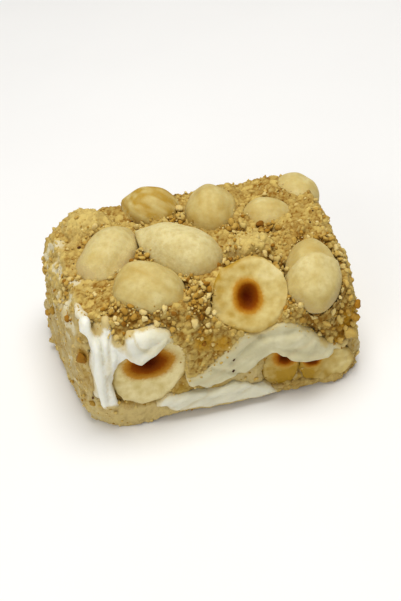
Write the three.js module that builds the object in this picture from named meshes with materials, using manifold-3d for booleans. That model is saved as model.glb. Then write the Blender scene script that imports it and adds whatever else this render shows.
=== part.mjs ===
// A cut piece of layered turkish delight: a crumb coat, two layers of white
// whipped nougat with a hazelnut filling between them, and a top of crumbs and
// whole hazelnuts. Millimetres, +Z up. The cut front face looks along -Y, the
// crumb-coated long sides are left and right, and the piece rests on Z = 0.

import * as THREE from 'three';
import { mergeVertices } from 'three/addons/utils/BufferGeometryUtils.js';
import Module from 'manifold-3d';

const wasm = await Module();
wasm.setup();

// Block: its corners at the bottom and at the top, as [x, y]
const BASE_CORNERS = {
  frontLeft: [-26.6, -21.3], frontRight: [31.2, -20.2], backRight: [32, 20.8], backLeft: [-34.0, 20.3],
};
const TOP_CORNERS = {
  frontLeft: [-26.2, -19.4], frontRight: [28.0, -19.3], backRight: [29.0, 20], backLeft: [-28.4, 19.0],
};
const BLOCK_TOP = 31;
const CORNER_POWER = 7.5;
const BOTTOM_ROUND = 0.9;
const SHOULDER_HEIGHT = 10;
const SHOULDER_DEPTH = 7;
const SHOULDER_POWER = 2.2;
const SIDE_WAVE = { height: 0.45, round: [7, 3], up: [0.3, 0.24] };
const BLOCK_SIDES = 36;
const BLOCK_LEVELS = 7;

// Clearance between neighbours, and the crumb coat's wall on the two long sides
const GAP = 0.3;
const COAT_WALL = 3.2;
const WHITE_PROUD = 0.4;
const FILLING_SUNK = 0.7;
const PAST_ENDS = 12;

// Layer boundaries along the cut front face, as [x, z]
const COAT_TOP = profile([[-16.5, 7.2], [-11.1, 4.2], [-8.3, 2.4], [7, 1.9], [13.8, 2.4], [29, 2.8]]);
const LOWER_WHITE_TOP = profile([
  [-16.5, 7.2], [-13, 6.8], [-6, 6.6], [3, 6.9], [8.3, 5.0], [11, 3.4], [13.8, 2.4], [29, 2.8],
]);
const UPPER_WHITE_BOTTOM = profile([
  [-20.5, 7.2], [-18, 16], [-15.5, 21.5], [-9.5, 21.8], [-8.3, 20.5], [-5.5, 8.4], [-2.8, 8.2], [2.2, 8.4],
  [5.7, 9.4], [10.2, 13.4], [12.7, 13.2], [15.7, 11.2], [19.7, 9.8], [24, 9.3],
]);
const UPPER_WHITE_TOP = profile([
  [-21, 26.2], [-19.4, 25.6], [-17.2, 20.6], [-16, 20.6], [-13.8, 24.4], [-11, 24.4], [-8.3, 23.2],
  [-5.5, 11.0], [-2.8, 12.6], [0, 14.6], [2.8, 17.0], [5.5, 19.6], [7.7, 18.8], [11.7, 20], [15.2, 20.4],
  [17.7, 18], [20.7, 13.6], [23.5, 10.8],
]);
const CRUMB_LEVEL = 26.8;
const FACE_TO_FACE = 26;
const LAYER_WAVE = { height: 0.5, x: 0.42, y: 0.37, start: [1.3, 0.6] };
const CRUMB_WAVE = { height: 0.5, x: 0.55, y: 0.6, start: [0, 1] };
const CRUMB_MOUNDS = [
  { x: -14, y: -16, height: 0.9, radius: 4.0 },
  { x: 12, y: 18, height: 1.6, radius: 5.0 },
  { x: 21, y: -19, height: -7.0, radius: 9.0 },
];
const ROUND_MOUNDS = [
  { at: [-19.6, 11.8, 24.8], size: [6.4, 5.8, 5.6] },
  { at: [10.6, -4.4, 25.0], size: [5.3, 4.6, 5.0] },
  { at: [-9.4, -2.2, 25.0], size: [3.8, 3.2, 3.4] },
  { at: [-1.8, -14.2, 24.2], size: [3.2, 4.2, 3.8] },
];
const MOUND_SIDES = 10;
const MOUND_STEPS = 6;
const FIELD = { width: 72, depth: 48, columns: 26, rows: 5, bottom: -5 };

// Whole hazelnuts in the top: the direction of each one's tip, how sharp it is, and how full the other end is
const TOP_NUTS = [
  { at: [-16.9, 1.4, 25.2], tip: [0.62, 0.74, 0.25], length: 18.0, width: 11.4, sharp: 0.4, belly: 0.0 },
  { at: [-3.3, -1.2, 26.8], tip: [-0.74, 0.64, 0.2], length: 19.4, width: 11.4, sharp: 1.1, belly: 0.3 },
  { at: [-10.0, -11.3, 25.4], tip: [0.78, -0.6, -0.15], length: 15.6, width: 12.6, sharp: 0.9, belly: 0.2 },
  { at: [5.9, 10.8, 25.6], tip: [0.12, 0.97, 0.2], length: 15.0, width: 11.0, sharp: 0.45 },
  { at: [-6.2, 15.2, 24.8], tip: [-0.8, 0.3, 0.5], length: 13.6, width: 12.0, sharp: 0.6 },
  { at: [21.3, -12.0, 24.2], tip: [0.2, 0.92, 0.33], length: 16.8, width: 11.6, sharp: 0.3 },
  { at: [17.2, 7.0, 23.8], tip: [0.9, -0.3, 0.1], length: 12.0, width: 10.0, sharp: 0.5 },
  { at: [25.0, 15.0, 22.4], tip: [0.5, 0.7, -0.4], length: 12.0, width: 10.8, sharp: 0.5 },
];
const NUT_SIDES = 12;
const NUT_STEPS = 7;
const NUT_BELLY = 0.08;
const CUT_NUT_SHARPNESS = 0.45;

// Cut hazelnuts: the middle of each cut face, its size, the lean of its tip to the right, and the hollow
// in it as [right, up, half width, half height] from that middle
const FRONT_CUT_NUTS = [
  { at: [-12.8, -19.4, 13.5], width: 14.0, length: 17.4, lean: 0.7, hollow: [-0.2, 3.4, 3.3, 2.4] },
  { at: [12.8, -19.0, 7.6], width: 7.8, length: 10.6, lean: 0, hollow: [1.6, 2.4, 2.0, 1.6] },
  { at: [22.4, -18.9, 5.8], width: 11.4, length: 9.4, lean: 0, hollow: [-3.0, 1.9, 1.8, 1.5] },
];
const FRONT_FACING = [0, -1, 0.06];
const SHOULDER_CUT_NUT = {
  at: [7.8, -16.0, 25.2], facing: [0.02, -0.76, 0.65], lean: -1.83,
  width: 14.4, length: 15.4, hollow: [-0.2, -0.1, 2.6, 3.1],
};
const HOLLOW_DEPTH = 1.3;
const HOLLOW_SIDES = 10;
const HOLLOW_STEPS = 6;
const FACE_ROOM = { depth: 8, sides: 20 };
const BACK_SHIFT = -1;
const BACK_FACING = [0, 1, 0.04];
const BACK_NUT_INSET = 1.0;
const BACK_NUT_SIZES = [0.96, 1.08, 0.94];

// White nougat that hangs over its neighbours, as outlines in [x, z]: two strands, a tongue and a lip
const OVERHANGS = [
  [[-24.2, 27.4], [-22.9, 27.6], [-21.7, 22], [-21, 14], [-20.2, 6.4], [-23, 6.4], [-23.5, 12], [-22.8, 21]],
  [[-20.1, 27.2], [-19.2, 27.2], [-18.7, 20], [-20, 16.6], [-21.8, 15.6], [-20.9, 22]],
  [[-17.1, 20.9], [-16.4, 19], [-14.5, 17.2], [-11.4, 19.4], [-8.4, 22.2], [-11.6, 24.2], [-16, 24.6]],
  [[10.6, 15.2], [13, 13.2], [16.5, 11.2], [20, 10.2], [23.4, 10.0], [21.4, 12.8], [17.5, 15.8], [13, 17]],
];
const OVERHANG_PROUD = 0.9;
const OVERHANG_SUNK = 0.7;
const OVERHANG_BEVEL = 0.4;

// The largest crumbs: how many on each surface, and how large
const CRUMB_SEED = 7;
const CRUMB_SIZE = { smallest: 0.75, largest: 1.5 };
const CRUMB_SQUASH = { least: 0.6, most: 0.95 };
const CRUMB_SUNK = 0.3;
const CRUMB_NESTLE = 0.8;
const TOP_AREA = { x: 26, y: 16 };
const COAT_SIDES = [[0.8, 1.18], [-0.18, 0.2]];
const SHOULDER_CRUMB_TOP = 28;
const TRIES = 20;
const TOP_CRUMBS = 9;
const SHOULDER_CRUMBS = 3;
const COAT_CRUMBS = 10;
const EVEN_STEPS = [0.7548777, 0.5698403];
const DRAW = { factor: 1664525, step: 1013904223, range: 2 ** 32 };
const WELD = 1e-4;
const HALF_TURN = Math.PI;

const COLOURS = {
  crumb: 0xcda869,
  white: 0xeeeae0,
  filling: 0xc39a57,
  nut: 0xdcc48c,
  cutNut: 0xe6d6a8,
};
const ROUGHNESS = { crumb: 0.9, white: 0.6, nut: 0.55 };

// Height along x through a few [x, z] points, with a smooth step between each two
function profile(points) {
  return (x) => {
    const next = points.findIndex(([px]) => px > x);
    if (next === 0) return points[0][1];
    if (next < 0) return points.at(-1)[1];
    const [x0, z0] = points[next - 1];
    const [x1, z1] = points[next];
    return THREE.MathUtils.lerp(z0, z1, THREE.MathUtils.smoothstep(x, x0, x1));
  };
}

function wave({ height, x: perX, y: perY, start }, x, y) {
  return height * Math.sin(perX * x + start[0]) * Math.cos(perY * y + start[1]);
}

// A layer boundary runs from its front profile to the same profile turned round at the back
function boundary(front) {
  return (x, y) => {
    const towardsBack = THREE.MathUtils.smoothstep(y, -FACE_TO_FACE / 2, FACE_TO_FACE / 2);
    const inside = Math.sin(HALF_TURN * towardsBack);
    const height = THREE.MathUtils.lerp(front(x), front(BACK_SHIFT - x), towardsBack);
    return height + inside * wave(LAYER_WAVE, x, y);
  };
}

const coatTop = boundary(COAT_TOP);
const lowerWhiteTop = boundary(LOWER_WHITE_TOP);
const upperWhiteBottom = boundary(UPPER_WHITE_BOTTOM);
const upperWhiteTop = boundary(UPPER_WHITE_TOP);

function crumbTop(x, y) {
  let height = CRUMB_LEVEL + wave(CRUMB_WAVE, x, y);
  for (const mound of CRUMB_MOUNDS) {
    const distance = Math.hypot(x - mound.x, y - mound.y) / mound.radius;
    height += mound.height * Math.exp(-distance * distance);
  }
  return height;
}

function moveVertices(geometry, move) {
  const position = geometry.attributes.position;
  const point = new THREE.Vector3();
  for (let index = 0; index < position.count; index++) {
    point.fromBufferAttribute(position, index);
    move(point);
    position.setXYZ(index, point.x, point.y, point.z);
  }
  return geometry;
}

function solidFrom(geometry) {
  const bare = new THREE.BufferGeometry();
  bare.setAttribute('position', geometry.attributes.position.clone());
  if (geometry.index) bare.setIndex(geometry.index.clone());
  const welded = mergeVertices(bare, WELD);
  return new wasm.Manifold(new wasm.Mesh({
    numProp: 3,
    vertProperties: new Float32Array(welded.attributes.position.array),
    triVerts: new Uint32Array(welded.index.array),
  }));
}

function geometryFrom(solid) {
  const mesh = solid.getMesh();
  const geometry = new THREE.BufferGeometry();
  geometry.setAttribute('position', new THREE.BufferAttribute(mesh.vertProperties, 3));
  geometry.setIndex(new THREE.BufferAttribute(mesh.triVerts, 1));
  geometry.computeVertexNormals();
  return geometry;
}

function cutAll(solid, cutters) {
  return cutters.reduce((left, cutter) => left.subtract(cutter), solid);
}

function joinAll(solid, pieces) {
  return pieces.reduce((joined, piece) => joined.add(piece), solid);
}

function largestBody(solid) {
  return solid.decompose().reduce((most, body) => (body.volume() > most.volume() ? body : most));
}

// How far the block's side is drawn in at a height: round at the bottom edge and at the shoulders
function sideInset(z) {
  const low = Math.max(0, 1 - z / BOTTOM_ROUND);
  const high = Math.max(0, (z - (BLOCK_TOP - SHOULDER_HEIGHT)) / SHOULDER_HEIGHT);
  return BOTTOM_ROUND * (1 - Math.sqrt(1 - low * low)) + SHOULDER_DEPTH * high ** SHOULDER_POWER;
}

// Point on the block's side: a rounded four-cornered outline that changes with height
function sidePoint(angle, z, growX, growY) {
  const across = Math.cos(angle);
  const along = Math.sin(angle);
  const size = (Math.abs(across) ** CORNER_POWER + Math.abs(along) ** CORNER_POWER) ** (1 / CORNER_POWER);
  const u = 0.5 + 0.5 * across / size;
  const v = 0.5 + 0.5 * along / size;
  const rise = z / BLOCK_TOP;
  const corner = (name) => [0, 1].map((axis) => (
    THREE.MathUtils.lerp(BASE_CORNERS[name][axis], TOP_CORNERS[name][axis], rise)
  ));
  const [frontLeft, frontRight, backRight, backLeft] =
    ['frontLeft', 'frontRight', 'backRight', 'backLeft'].map(corner);
  const mixed = [0, 1].map((axis) => THREE.MathUtils.lerp(
    THREE.MathUtils.lerp(frontLeft[axis], frontRight[axis], u),
    THREE.MathUtils.lerp(backLeft[axis], backRight[axis], u),
    v,
  ));
  const [first, second] = [0, 1].map((index) => (
    Math.sin(SIDE_WAVE.round[index] * angle + SIDE_WAVE.up[index] * z)
  ));
  const out = SIDE_WAVE.height * first * second - sideInset(z);
  return new THREE.Vector3(
    mixed[0] + (across / size) * (out + growX),
    mixed[1] + (along / size) * (out + growY),
    z,
  );
}

function block(growX, growY) {
  const geometry = new THREE.CylinderGeometry(1, 1, BLOCK_TOP, BLOCK_SIDES, BLOCK_LEVELS);
  geometry.rotateX(HALF_TURN / 2);
  geometry.translate(0, 0, BLOCK_TOP / 2);
  return solidFrom(moveVertices(geometry, (point) => {
    const onAxis = Math.hypot(point.x, point.y) < 0.5;
    if (!onAxis) point.copy(sidePoint(Math.atan2(point.y, point.x), point.z, growX, growY));
  }));
}

// Everything below a height function, over a rectangle larger than the block
function below(height, by) {
  const geometry = new THREE.BoxGeometry(FIELD.width, FIELD.depth, 2, FIELD.columns, FIELD.rows, 1);
  return solidFrom(moveVertices(geometry, (point) => {
    point.z = point.z > 0 ? height(point.x, point.y) + by : FIELD.bottom;
  }));
}

const level = (z) => () => z;

// A hazelnut turned about Y: a full belly, a blunt base and a pointed tip at +Y
function hazelnut({ length, width, sharp, belly = NUT_BELLY }, grow) {
  const outline = [];
  for (let step = 0; step <= NUT_STEPS; step++) {
    const turn = HALF_TURN * step / NUT_STEPS;
    const pole = step === 0 || step === NUT_STEPS;
    const tipness = THREE.MathUtils.smoothstep(turn, HALF_TURN / 2, HALF_TURN);
    const swell = Math.sin(turn) ** (1 + sharp * tipness) * (1 + belly * Math.cos(turn));
    const radius = pole ? 0 : (0.5 * width + grow) * swell;
    outline.push(new THREE.Vector2(radius, -(0.5 * length + grow) * Math.cos(turn)));
  }
  return new THREE.LatheGeometry(outline, NUT_SIDES);
}

function placeNut(nut) {
  const tip = new THREE.Vector3(...nut.tip).normalize();
  const turn = new THREE.Quaternion().setFromUnitVectors(new THREE.Vector3(0, 1, 0), tip);
  return new THREE.Matrix4().compose(new THREE.Vector3(...nut.at), turn, new THREE.Vector3(1, 1, 1));
}

function nutPocket(nut) {
  return solidFrom(hazelnut(nut, GAP).applyMatrix4(placeNut(nut)));
}

// Place of a cut nut: its local -Y looks out of the cut face, its local Z runs up the face
function placeCutNut(nut) {
  const out = new THREE.Vector3(...nut.facing).normalize();
  const right = new THREE.Vector3(0, 0, 1).cross(out).normalize();
  const up = new THREE.Vector3().crossVectors(out, right);
  const turn = new THREE.Matrix4().makeBasis(right, out.clone().negate(), up);
  return turn.setPosition(...nut.at);
}

function wholeForCut(nut, grow) {
  const whole = hazelnut({ ...nut, sharp: CUT_NUT_SHARPNESS }, grow);
  whole.rotateX(HALF_TURN / 2);
  whole.rotateY(nut.lean);
  return whole;
}

function behindFace(size) {
  const half = new THREE.BoxGeometry(size, size, size);
  half.translate(0, size / 2, 0);
  return solidFrom(half);
}

function cutNut(nut) {
  const [x, z, halfWidth, halfHeight] = nut.hollow;
  const hollow = new THREE.SphereGeometry(1, HOLLOW_SIDES, HOLLOW_STEPS);
  hollow.scale(halfWidth, HOLLOW_DEPTH, halfHeight);
  hollow.translate(x, 0, z);
  const half = solidFrom(wholeForCut(nut, 0)).intersect(behindFace(2 * nut.length));
  return half.subtract(solidFrom(hollow));
}

// Room for a cut nut, open in front of its face
function cutNutPocket(nut) {
  const matrix = placeCutNut(nut);
  const solid = solidFrom(wholeForCut(nut, GAP).applyMatrix4(matrix));
  const front = new THREE.CylinderGeometry(1, 1, FACE_ROOM.depth, FACE_ROOM.sides);
  front.scale(0.5 * nut.width, 1, 0.5 * nut.length);
  front.rotateY(nut.lean);
  front.translate(0, -FACE_ROOM.depth / 2, 0);
  return solid.add(solidFrom(front.applyMatrix4(matrix)));
}

// How far back the front face is at a place on it
function frontFace(x, z) {
  const rise = z / BLOCK_TOP;
  const [left, right] = ['frontLeft', 'frontRight'].map((name) => (
    THREE.MathUtils.lerp(BASE_CORNERS[name][1], TOP_CORNERS[name][1], rise)
  ));
  const [from, to] = [BASE_CORNERS.frontLeft[0], BASE_CORNERS.frontRight[0]];
  return THREE.MathUtils.mapLinear(x, from, to, left, right) + sideInset(z);
}

function overhang(outline, grow) {
  const shape = new THREE.Shape(outline.map(([x, z]) => new THREE.Vector2(x, z)));
  const geometry = new THREE.ExtrudeGeometry(shape, {
    depth: OVERHANG_PROUD + OVERHANG_SUNK - 2 * OVERHANG_BEVEL + 2 * grow,
    bevelThickness: OVERHANG_BEVEL,
    bevelSize: OVERHANG_BEVEL + grow,
    bevelOffset: -OVERHANG_BEVEL,
    bevelSegments: 1,
  });
  geometry.rotateX(HALF_TURN / 2);
  geometry.translate(0, OVERHANG_SUNK - OVERHANG_BEVEL + grow, 0);
  return solidFrom(moveVertices(geometry, (point) => {
    point.y += frontFace(point.x, point.z);
  }));
}

function roundMound({ at, size }) {
  const geometry = new THREE.SphereGeometry(1, MOUND_SIDES, MOUND_STEPS);
  geometry.scale(...size);
  geometry.translate(...at);
  return solidFrom(geometry);
}

// Repeatable draws from 0 to 1
function drawer(seed) {
  let state = seed;
  return () => {
    state = (state * DRAW.factor + DRAW.step) % DRAW.range;
    return state / DRAW.range;
  };
}

function crumb(at, size, draw) {
  const geometry = new THREE.IcosahedronGeometry(size, 0);
  const squash = () => THREE.MathUtils.lerp(CRUMB_SQUASH.least, CRUMB_SQUASH.most, draw());
  geometry.scale(1, squash(), squash());
  geometry.rotateX(2 * HALF_TURN * draw());
  geometry.rotateZ(2 * HALF_TURN * draw());
  geometry.translate(at.x, at.y, at.z);
  return solidFrom(geometry);
}

// Even spread over the unit square, from the two-dimensional golden ratio
const evenly = (index) => EVEN_STEPS.map((step) => (0.5 + step * index) % 1);

function crumbSize(draw) {
  return THREE.MathUtils.lerp(CRUMB_SIZE.smallest, CRUMB_SIZE.largest, draw() ** 2);
}

function clearOfNuts(at, size) {
  const reach = size + GAP - CRUMB_NESTLE;
  return nuts.every((nut) => at.distanceTo(new THREE.Vector3(...nut.at)) > 0.5 * nut.length + reach);
}

function crumbsOnTop(draw) {
  const pieces = [];
  for (let index = 0; pieces.length < TOP_CRUMBS && index < TRIES * TOP_CRUMBS; index++) {
    const [u, v] = evenly(index);
    const at = new THREE.Vector3((2 * u - 1) * TOP_AREA.x, (2 * v - 1) * TOP_AREA.y, 0);
    at.z = crumbTop(at.x, at.y);
    const size = crumbSize(draw);
    if (clearOfNuts(at, size)) pieces.push(crumb(at, size, draw));
  }
  return pieces;
}

// Crumbs round the block's side, over part of a half turn, between two heights that may vary round it
function crumbsRound(count, [first, last], lowest, highest, draw) {
  const pieces = [];
  for (let index = 0; pieces.length < count && index < TRIES * count; index++) {
    const [u, v] = evenly(index);
    const angle = HALF_TURN * THREE.MathUtils.lerp(first, last, u);
    const size = crumbSize(draw);
    const foot = sidePoint(angle, BLOCK_TOP / 2, 0, 0);
    const from = lowest(foot.x, foot.y) + size + GAP;
    const to = highest(foot.x, foot.y) - size - GAP;
    if (to < from) continue;
    const at = sidePoint(angle, THREE.MathUtils.lerp(from, to, v), -CRUMB_SUNK * size, -CRUMB_SUNK * size);
    if (clearOfNuts(at, size)) pieces.push(crumb(at, size, draw));
  }
  return pieces;
}

// The back face carries cut nuts too, turned round and a little different in size
function backCutNut(nut, index) {
  const x = BACK_SHIFT - nut.at[0];
  const { backLeft, backRight } = BASE_CORNERS;
  const y = THREE.MathUtils.mapLinear(x, backLeft[0], backRight[0], backLeft[1], backRight[1]);
  const size = BACK_NUT_SIZES[index];
  return {
    ...nut,
    at: [x, y - BACK_NUT_INSET, nut.at[2]],
    facing: BACK_FACING,
    width: nut.width * size,
    length: nut.length * size,
  };
}

const cutNuts = [
  ...FRONT_CUT_NUTS.map((nut) => ({ ...nut, facing: FRONT_FACING })),
  ...FRONT_CUT_NUTS.map(backCutNut),
  SHOULDER_CUT_NUT,
];
const nuts = [...TOP_NUTS, ...cutNuts];
const pockets = [...TOP_NUTS.map(nutPocket), ...cutNuts.map(cutNutPocket)];

// The white nougat's own overhanging pieces, and the room that they take from the other layers
const overhangs = OVERHANGS.map((outline) => overhang(outline, 0));
const overhangRooms = OVERHANGS.map((outline) => overhang(outline, GAP));

const outside = block(0, 0);
const inCoat = block(-COAT_WALL, PAST_ENDS);
const inCoatClear = block(-COAT_WALL - GAP, PAST_ENDS);
const white = block(0, WHITE_PROUD).intersect(inCoatClear);
const sunk = block(0, -FILLING_SUNK).intersect(inCoatClear);
const draw = drawer(CRUMB_SEED);

function crumbCoat() {
  const shell = outside.intersect(below(upperWhiteTop, -0.5 * GAP));
  const inside = inCoat.subtract(below(coatTop, -0.5 * GAP));
  const crumbs = COAT_SIDES.flatMap((side) => (
    crumbsRound(COAT_CRUMBS / COAT_SIDES.length, side, level(0), upperWhiteTop, draw)
  ));
  return joinAll(shell, crumbs).subtract(inside);
}

function layer(body, bottom, top) {
  return body.intersect(below(top, -0.5 * GAP)).subtract(below(bottom, 0.5 * GAP));
}

function crumbLayer() {
  const heap = joinAll(outside.intersect(below(crumbTop, 0)), ROUND_MOUNDS.map(roundMound));
  const body = heap.subtract(below(upperWhiteTop, 0.5 * GAP));
  const round = crumbsRound(SHOULDER_CRUMBS, [-1, 1], upperWhiteTop, level(SHOULDER_CRUMB_TOP), draw);
  return joinAll(body, [...crumbsOnTop(draw), ...round]);
}

const rooms = [...pockets, ...overhangRooms];
const lowerWhite = layer(white, coatTop, lowerWhiteTop);
const filling = layer(sunk, lowerWhiteTop, upperWhiteBottom);
const upperWhite = layer(white, upperWhiteBottom, upperWhiteTop);
const layers = [
  ['crumb_coat', cutAll(crumbCoat(), rooms), COLOURS.crumb, ROUGHNESS.crumb],
  ['white_lower', cutAll(lowerWhite, rooms), COLOURS.white, ROUGHNESS.white],
  ['nut_filling', cutAll(filling, rooms), COLOURS.filling, ROUGHNESS.crumb],
  ['white_upper', joinAll(cutAll(upperWhite, pockets), overhangs), COLOURS.white, ROUGHNESS.white],
  ['crumb_top', cutAll(crumbLayer(), rooms), COLOURS.crumb, ROUGHNESS.crumb],
];

function mesh(name, geometry, color, roughness) {
  const made = new THREE.Mesh(geometry, new THREE.MeshStandardMaterial({ color, roughness, metalness: 0 }));
  made.name = name;
  return made;
}

const piece = new THREE.Group();
for (const [name, solid, color, roughness] of layers) {
  piece.add(mesh(name, geometryFrom(largestBody(solid)), color, roughness));
}
TOP_NUTS.forEach((nut, index) => {
  const made = mesh(`hazelnut_${index + 1}`, hazelnut(nut, 0), COLOURS.nut, ROUGHNESS.nut);
  made.applyMatrix4(placeNut(nut));
  piece.add(made);
});
cutNuts.forEach((nut, index) => {
  const made = mesh(`cut_hazelnut_${index + 1}`, geometryFrom(cutNut(nut)), COLOURS.cutNut, ROUGHNESS.nut);
  made.applyMatrix4(placeCutNut(nut));
  piece.add(made);
});

// The origin is the middle of the bottom of the whole piece's box
const middle = new THREE.Box3().setFromObject(piece, true).getCenter(new THREE.Vector3());
piece.position.set(-middle.x, -middle.y, 0);
const group = new THREE.Group();
group.add(piece);

export default group;
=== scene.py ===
"""A cut piece of layered turkish delight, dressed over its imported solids: soft white nougat,
beds of nut crumbs, whole and halved hazelnuts, and loose crumbs on every coated side."""

import bmesh
import bpy
import numpy as np
from mathutils import Matrix, Vector, noise
from mathutils.bvhtree import BVHTree


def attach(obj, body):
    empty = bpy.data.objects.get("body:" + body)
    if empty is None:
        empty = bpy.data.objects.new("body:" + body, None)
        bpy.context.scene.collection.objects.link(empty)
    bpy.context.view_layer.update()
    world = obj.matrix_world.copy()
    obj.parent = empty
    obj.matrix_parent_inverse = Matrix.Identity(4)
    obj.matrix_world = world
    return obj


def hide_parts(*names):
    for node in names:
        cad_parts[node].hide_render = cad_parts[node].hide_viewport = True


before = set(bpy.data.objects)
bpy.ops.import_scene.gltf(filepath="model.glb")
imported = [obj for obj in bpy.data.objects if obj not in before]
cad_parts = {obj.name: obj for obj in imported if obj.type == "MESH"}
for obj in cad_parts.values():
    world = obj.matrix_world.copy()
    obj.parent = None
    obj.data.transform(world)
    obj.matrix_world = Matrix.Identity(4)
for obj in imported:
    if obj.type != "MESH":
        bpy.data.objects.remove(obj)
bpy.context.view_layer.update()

# Lengths with MM are in metres, and other places and sizes in millimetres. A pair of numbers says where a
# share starts and where it is full, or the least and the most of a random draw. Waves are rows of
# [strength, size, seed] for layered(), and spots rows of a place and a radius.
MM = 0.001
UP = Vector((0, 0, 1))

# Camera: it stands where the photograph was taken, aimed at the piece, with the photograph's lean
CAMERA_PLACE = Vector((-19.20, -156.62, 154.56)) * MM
CAMERA_TARGET = Vector((0.86, -0.58, 12.45)) * MM
CAMERA_ROLL = np.radians(-5.69)
CAMERA_LENS = 91.5
CAMERA_NEAREST = 0.01
SENSOR_WIDTH = 36

# The front face, how far back on it things may still be placed, and what counts as facing a way
FRONT_FACE = -20.5
FRONT_LIMIT = -15
FACING = (0.3, 0.7)

# How far each layer grows to close the gap to its neighbour
CLOSE_GAP = 0.24 * MM


# Arrays and meshes

SOFTEN_STEP = 0.5
FIELD_SHIFT = (7.3, 3.1, 5.7)
SPOT_CORE = 0.35


def read_numbers(items, key, width, kind=float):
    """One value of all of a mesh's items, as rows of the given width."""
    numbers = np.empty(len(items) * width, kind)
    items.foreach_get(key, numbers)
    return numbers.reshape(-1, width)


def node_arrays(name):
    """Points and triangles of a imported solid."""
    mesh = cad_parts[name].data
    mesh.calc_loop_triangles()
    return read_numbers(mesh.vertices, "co", 3), read_numbers(mesh.loop_triangles, "vertices", 3, np.int32)


def build_mesh(name, verts, faces):
    mesh = bpy.data.meshes.new(name)
    count, sides = faces.shape
    mesh.vertices.add(len(verts))
    mesh.vertices.foreach_set("co", verts.astype(np.float32).ravel())
    mesh.loops.add(count * sides)
    mesh.loops.foreach_set("vertex_index", faces.astype(np.int32).ravel())
    mesh.polygons.add(count)
    mesh.polygons.foreach_set("loop_start", np.arange(0, count * sides, sides, dtype=np.int32))
    mesh.update(calc_edges=True)
    mesh.validate()
    return mesh


def add_object(name, data):
    item = bpy.data.objects.new(name, data)
    bpy.context.scene.collection.objects.link(item)
    return item


def add_piece(name, shape, material, slot, nodes=(), **values):
    """Adds a mesh that rides on the one body and stands for the named solids."""
    mesh = build_mesh(name, *shape)
    mesh.polygons.foreach_set("use_smooth", np.full(len(mesh.polygons), True))
    for key, numbers in values.items():
        layer = mesh.attributes.new(key, "FLOAT", "POINT")
        layer.data.foreach_set("value", numbers.astype(np.float32))
    mesh.materials.append(material)
    piece = add_object(name, mesh)
    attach(piece, "root")
    if nodes:
        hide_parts(*nodes)


def joined(shapes):
    verts, faces, start = [], [], 0
    for part_verts, part_faces in shapes:
        verts.append(part_verts)
        faces.append(part_faces + start)
        start += len(part_verts)
    return np.concatenate(verts), np.concatenate(faces)


def triangles(faces):
    if faces.shape[1] == 3:
        return faces
    return np.concatenate([faces[:, [0, 1, 2]], faces[:, [0, 2, 3]]])


def in_triangles(shapes):
    return [(verts, triangles(faces)) for verts, faces in shapes]


def remeshed(shape, voxel):
    """One closed skin of even squares round all that the shape holds."""
    work = add_object("work", build_mesh("work", *shape))
    modifier = work.modifiers.new("skin", "REMESH")
    modifier.mode = "VOXEL"
    modifier.voxel_size = voxel
    evaluated = work.evaluated_get(bpy.context.evaluated_depsgraph_get())
    mesh = evaluated.to_mesh()
    verts = read_numbers(mesh.vertices, "co", 3)
    corners = read_numbers(mesh.loops, "vertex_index", 1, np.int32)
    evaluated.to_mesh_clear()
    bpy.data.objects.remove(work)
    return verts, corners.reshape(-1, 4)


def scatter_sum(index, values, count):
    return np.stack([np.bincount(index, values[:, axis], count) for axis in range(3)], axis=1)


def unit(vectors):
    return vectors / np.maximum(np.linalg.norm(vectors, axis=-1, keepdims=True), 1e-12)


def corner_points(verts, tris):
    return [verts[tris[:, corner]] for corner in range(3)]


def face_areas(verts, tris):
    """A vector for each triangle that points out of it and is twice as long as its area."""
    a, b, c = corner_points(verts, tris)
    return np.cross(b - a, c - a)


def vertex_normals(verts, faces):
    tris = triangles(faces)
    areas = face_areas(verts, tris)
    return unit(sum(scatter_sum(tris[:, corner], areas, len(verts)) for corner in range(3)))


def softened(verts, faces, rounds, back):
    """Evens out steps and edges without shrinking the shape; the nearer back is to -0.5, the rounder."""
    sides = faces.shape[1]
    pairs = np.concatenate([faces[:, [side, (side + 1) % sides]] for side in range(sides)])
    pairs = np.unique(np.sort(pairs, axis=1), axis=0)
    index = pairs.ravel()
    other = pairs[:, ::-1].ravel()
    degree = np.bincount(index, minlength=len(verts))[:, None]
    for _ in range(rounds):
        for step in (SOFTEN_STEP, back):
            verts = verts + step * (scatter_sum(index, verts[other], len(verts)) / degree - verts)
    return verts


def field(points, size, seed=0.0):
    """Smooth random values from about -1 to 1 that vary over the given size."""
    shift = Vector([seed * step for step in FIELD_SHIFT])
    return np.array([noise.noise(Vector(point) + shift) for point in points / size])


def layered(points, waves, seed=0.0):
    """A sum of random fields."""
    return sum(strength * field(points, size * MM, seed + own) for strength, size, own in waves)


def smoothstep(low, high, values):
    t = np.clip((values - low) / (high - low), 0, 1)
    return t * t * (3 - 2 * t)


def in_mm(points):
    """The points' x, y and z."""
    return (points / MM).T


def tree_of(shape):
    return BVHTree.FromPolygons(shape[0].tolist(), shape[1].tolist())


def nodes_tree(names):
    return tree_of(joined([node_arrays(name) for name in names]))


def distance_to(tree, points, most):
    found = (tree.find_nearest(Vector(point), most) for point in points)
    return np.array([most if hit[0] is None else hit[3] for hit in found])


def nearness(tree, points, reach):
    """One at contact, falling to nothing at the given reach."""
    return 1 - smoothstep(0, reach, distance_to(tree, points, reach))


def spots(points, rows):
    """Soft spots round places: one in the middle of each, nothing beyond its radius."""
    shares = []
    for *place, radius in rows:
        offsets = points[:, :len(place)] / MM - np.array(place)
        shares.append(1 - smoothstep(SPOT_CORE, 1, np.linalg.norm(offsets, axis=1) / radius))
    return np.maximum.reduce(shares)


def ball_shape(level):
    ball = bmesh.new()
    bmesh.ops.create_icosphere(ball, subdivisions=level, radius=1)
    verts = np.array([v.co[:] for v in ball.verts])
    faces = np.array([[v.index for v in f.verts] for f in ball.faces])
    ball.free()
    return verts, faces


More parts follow.
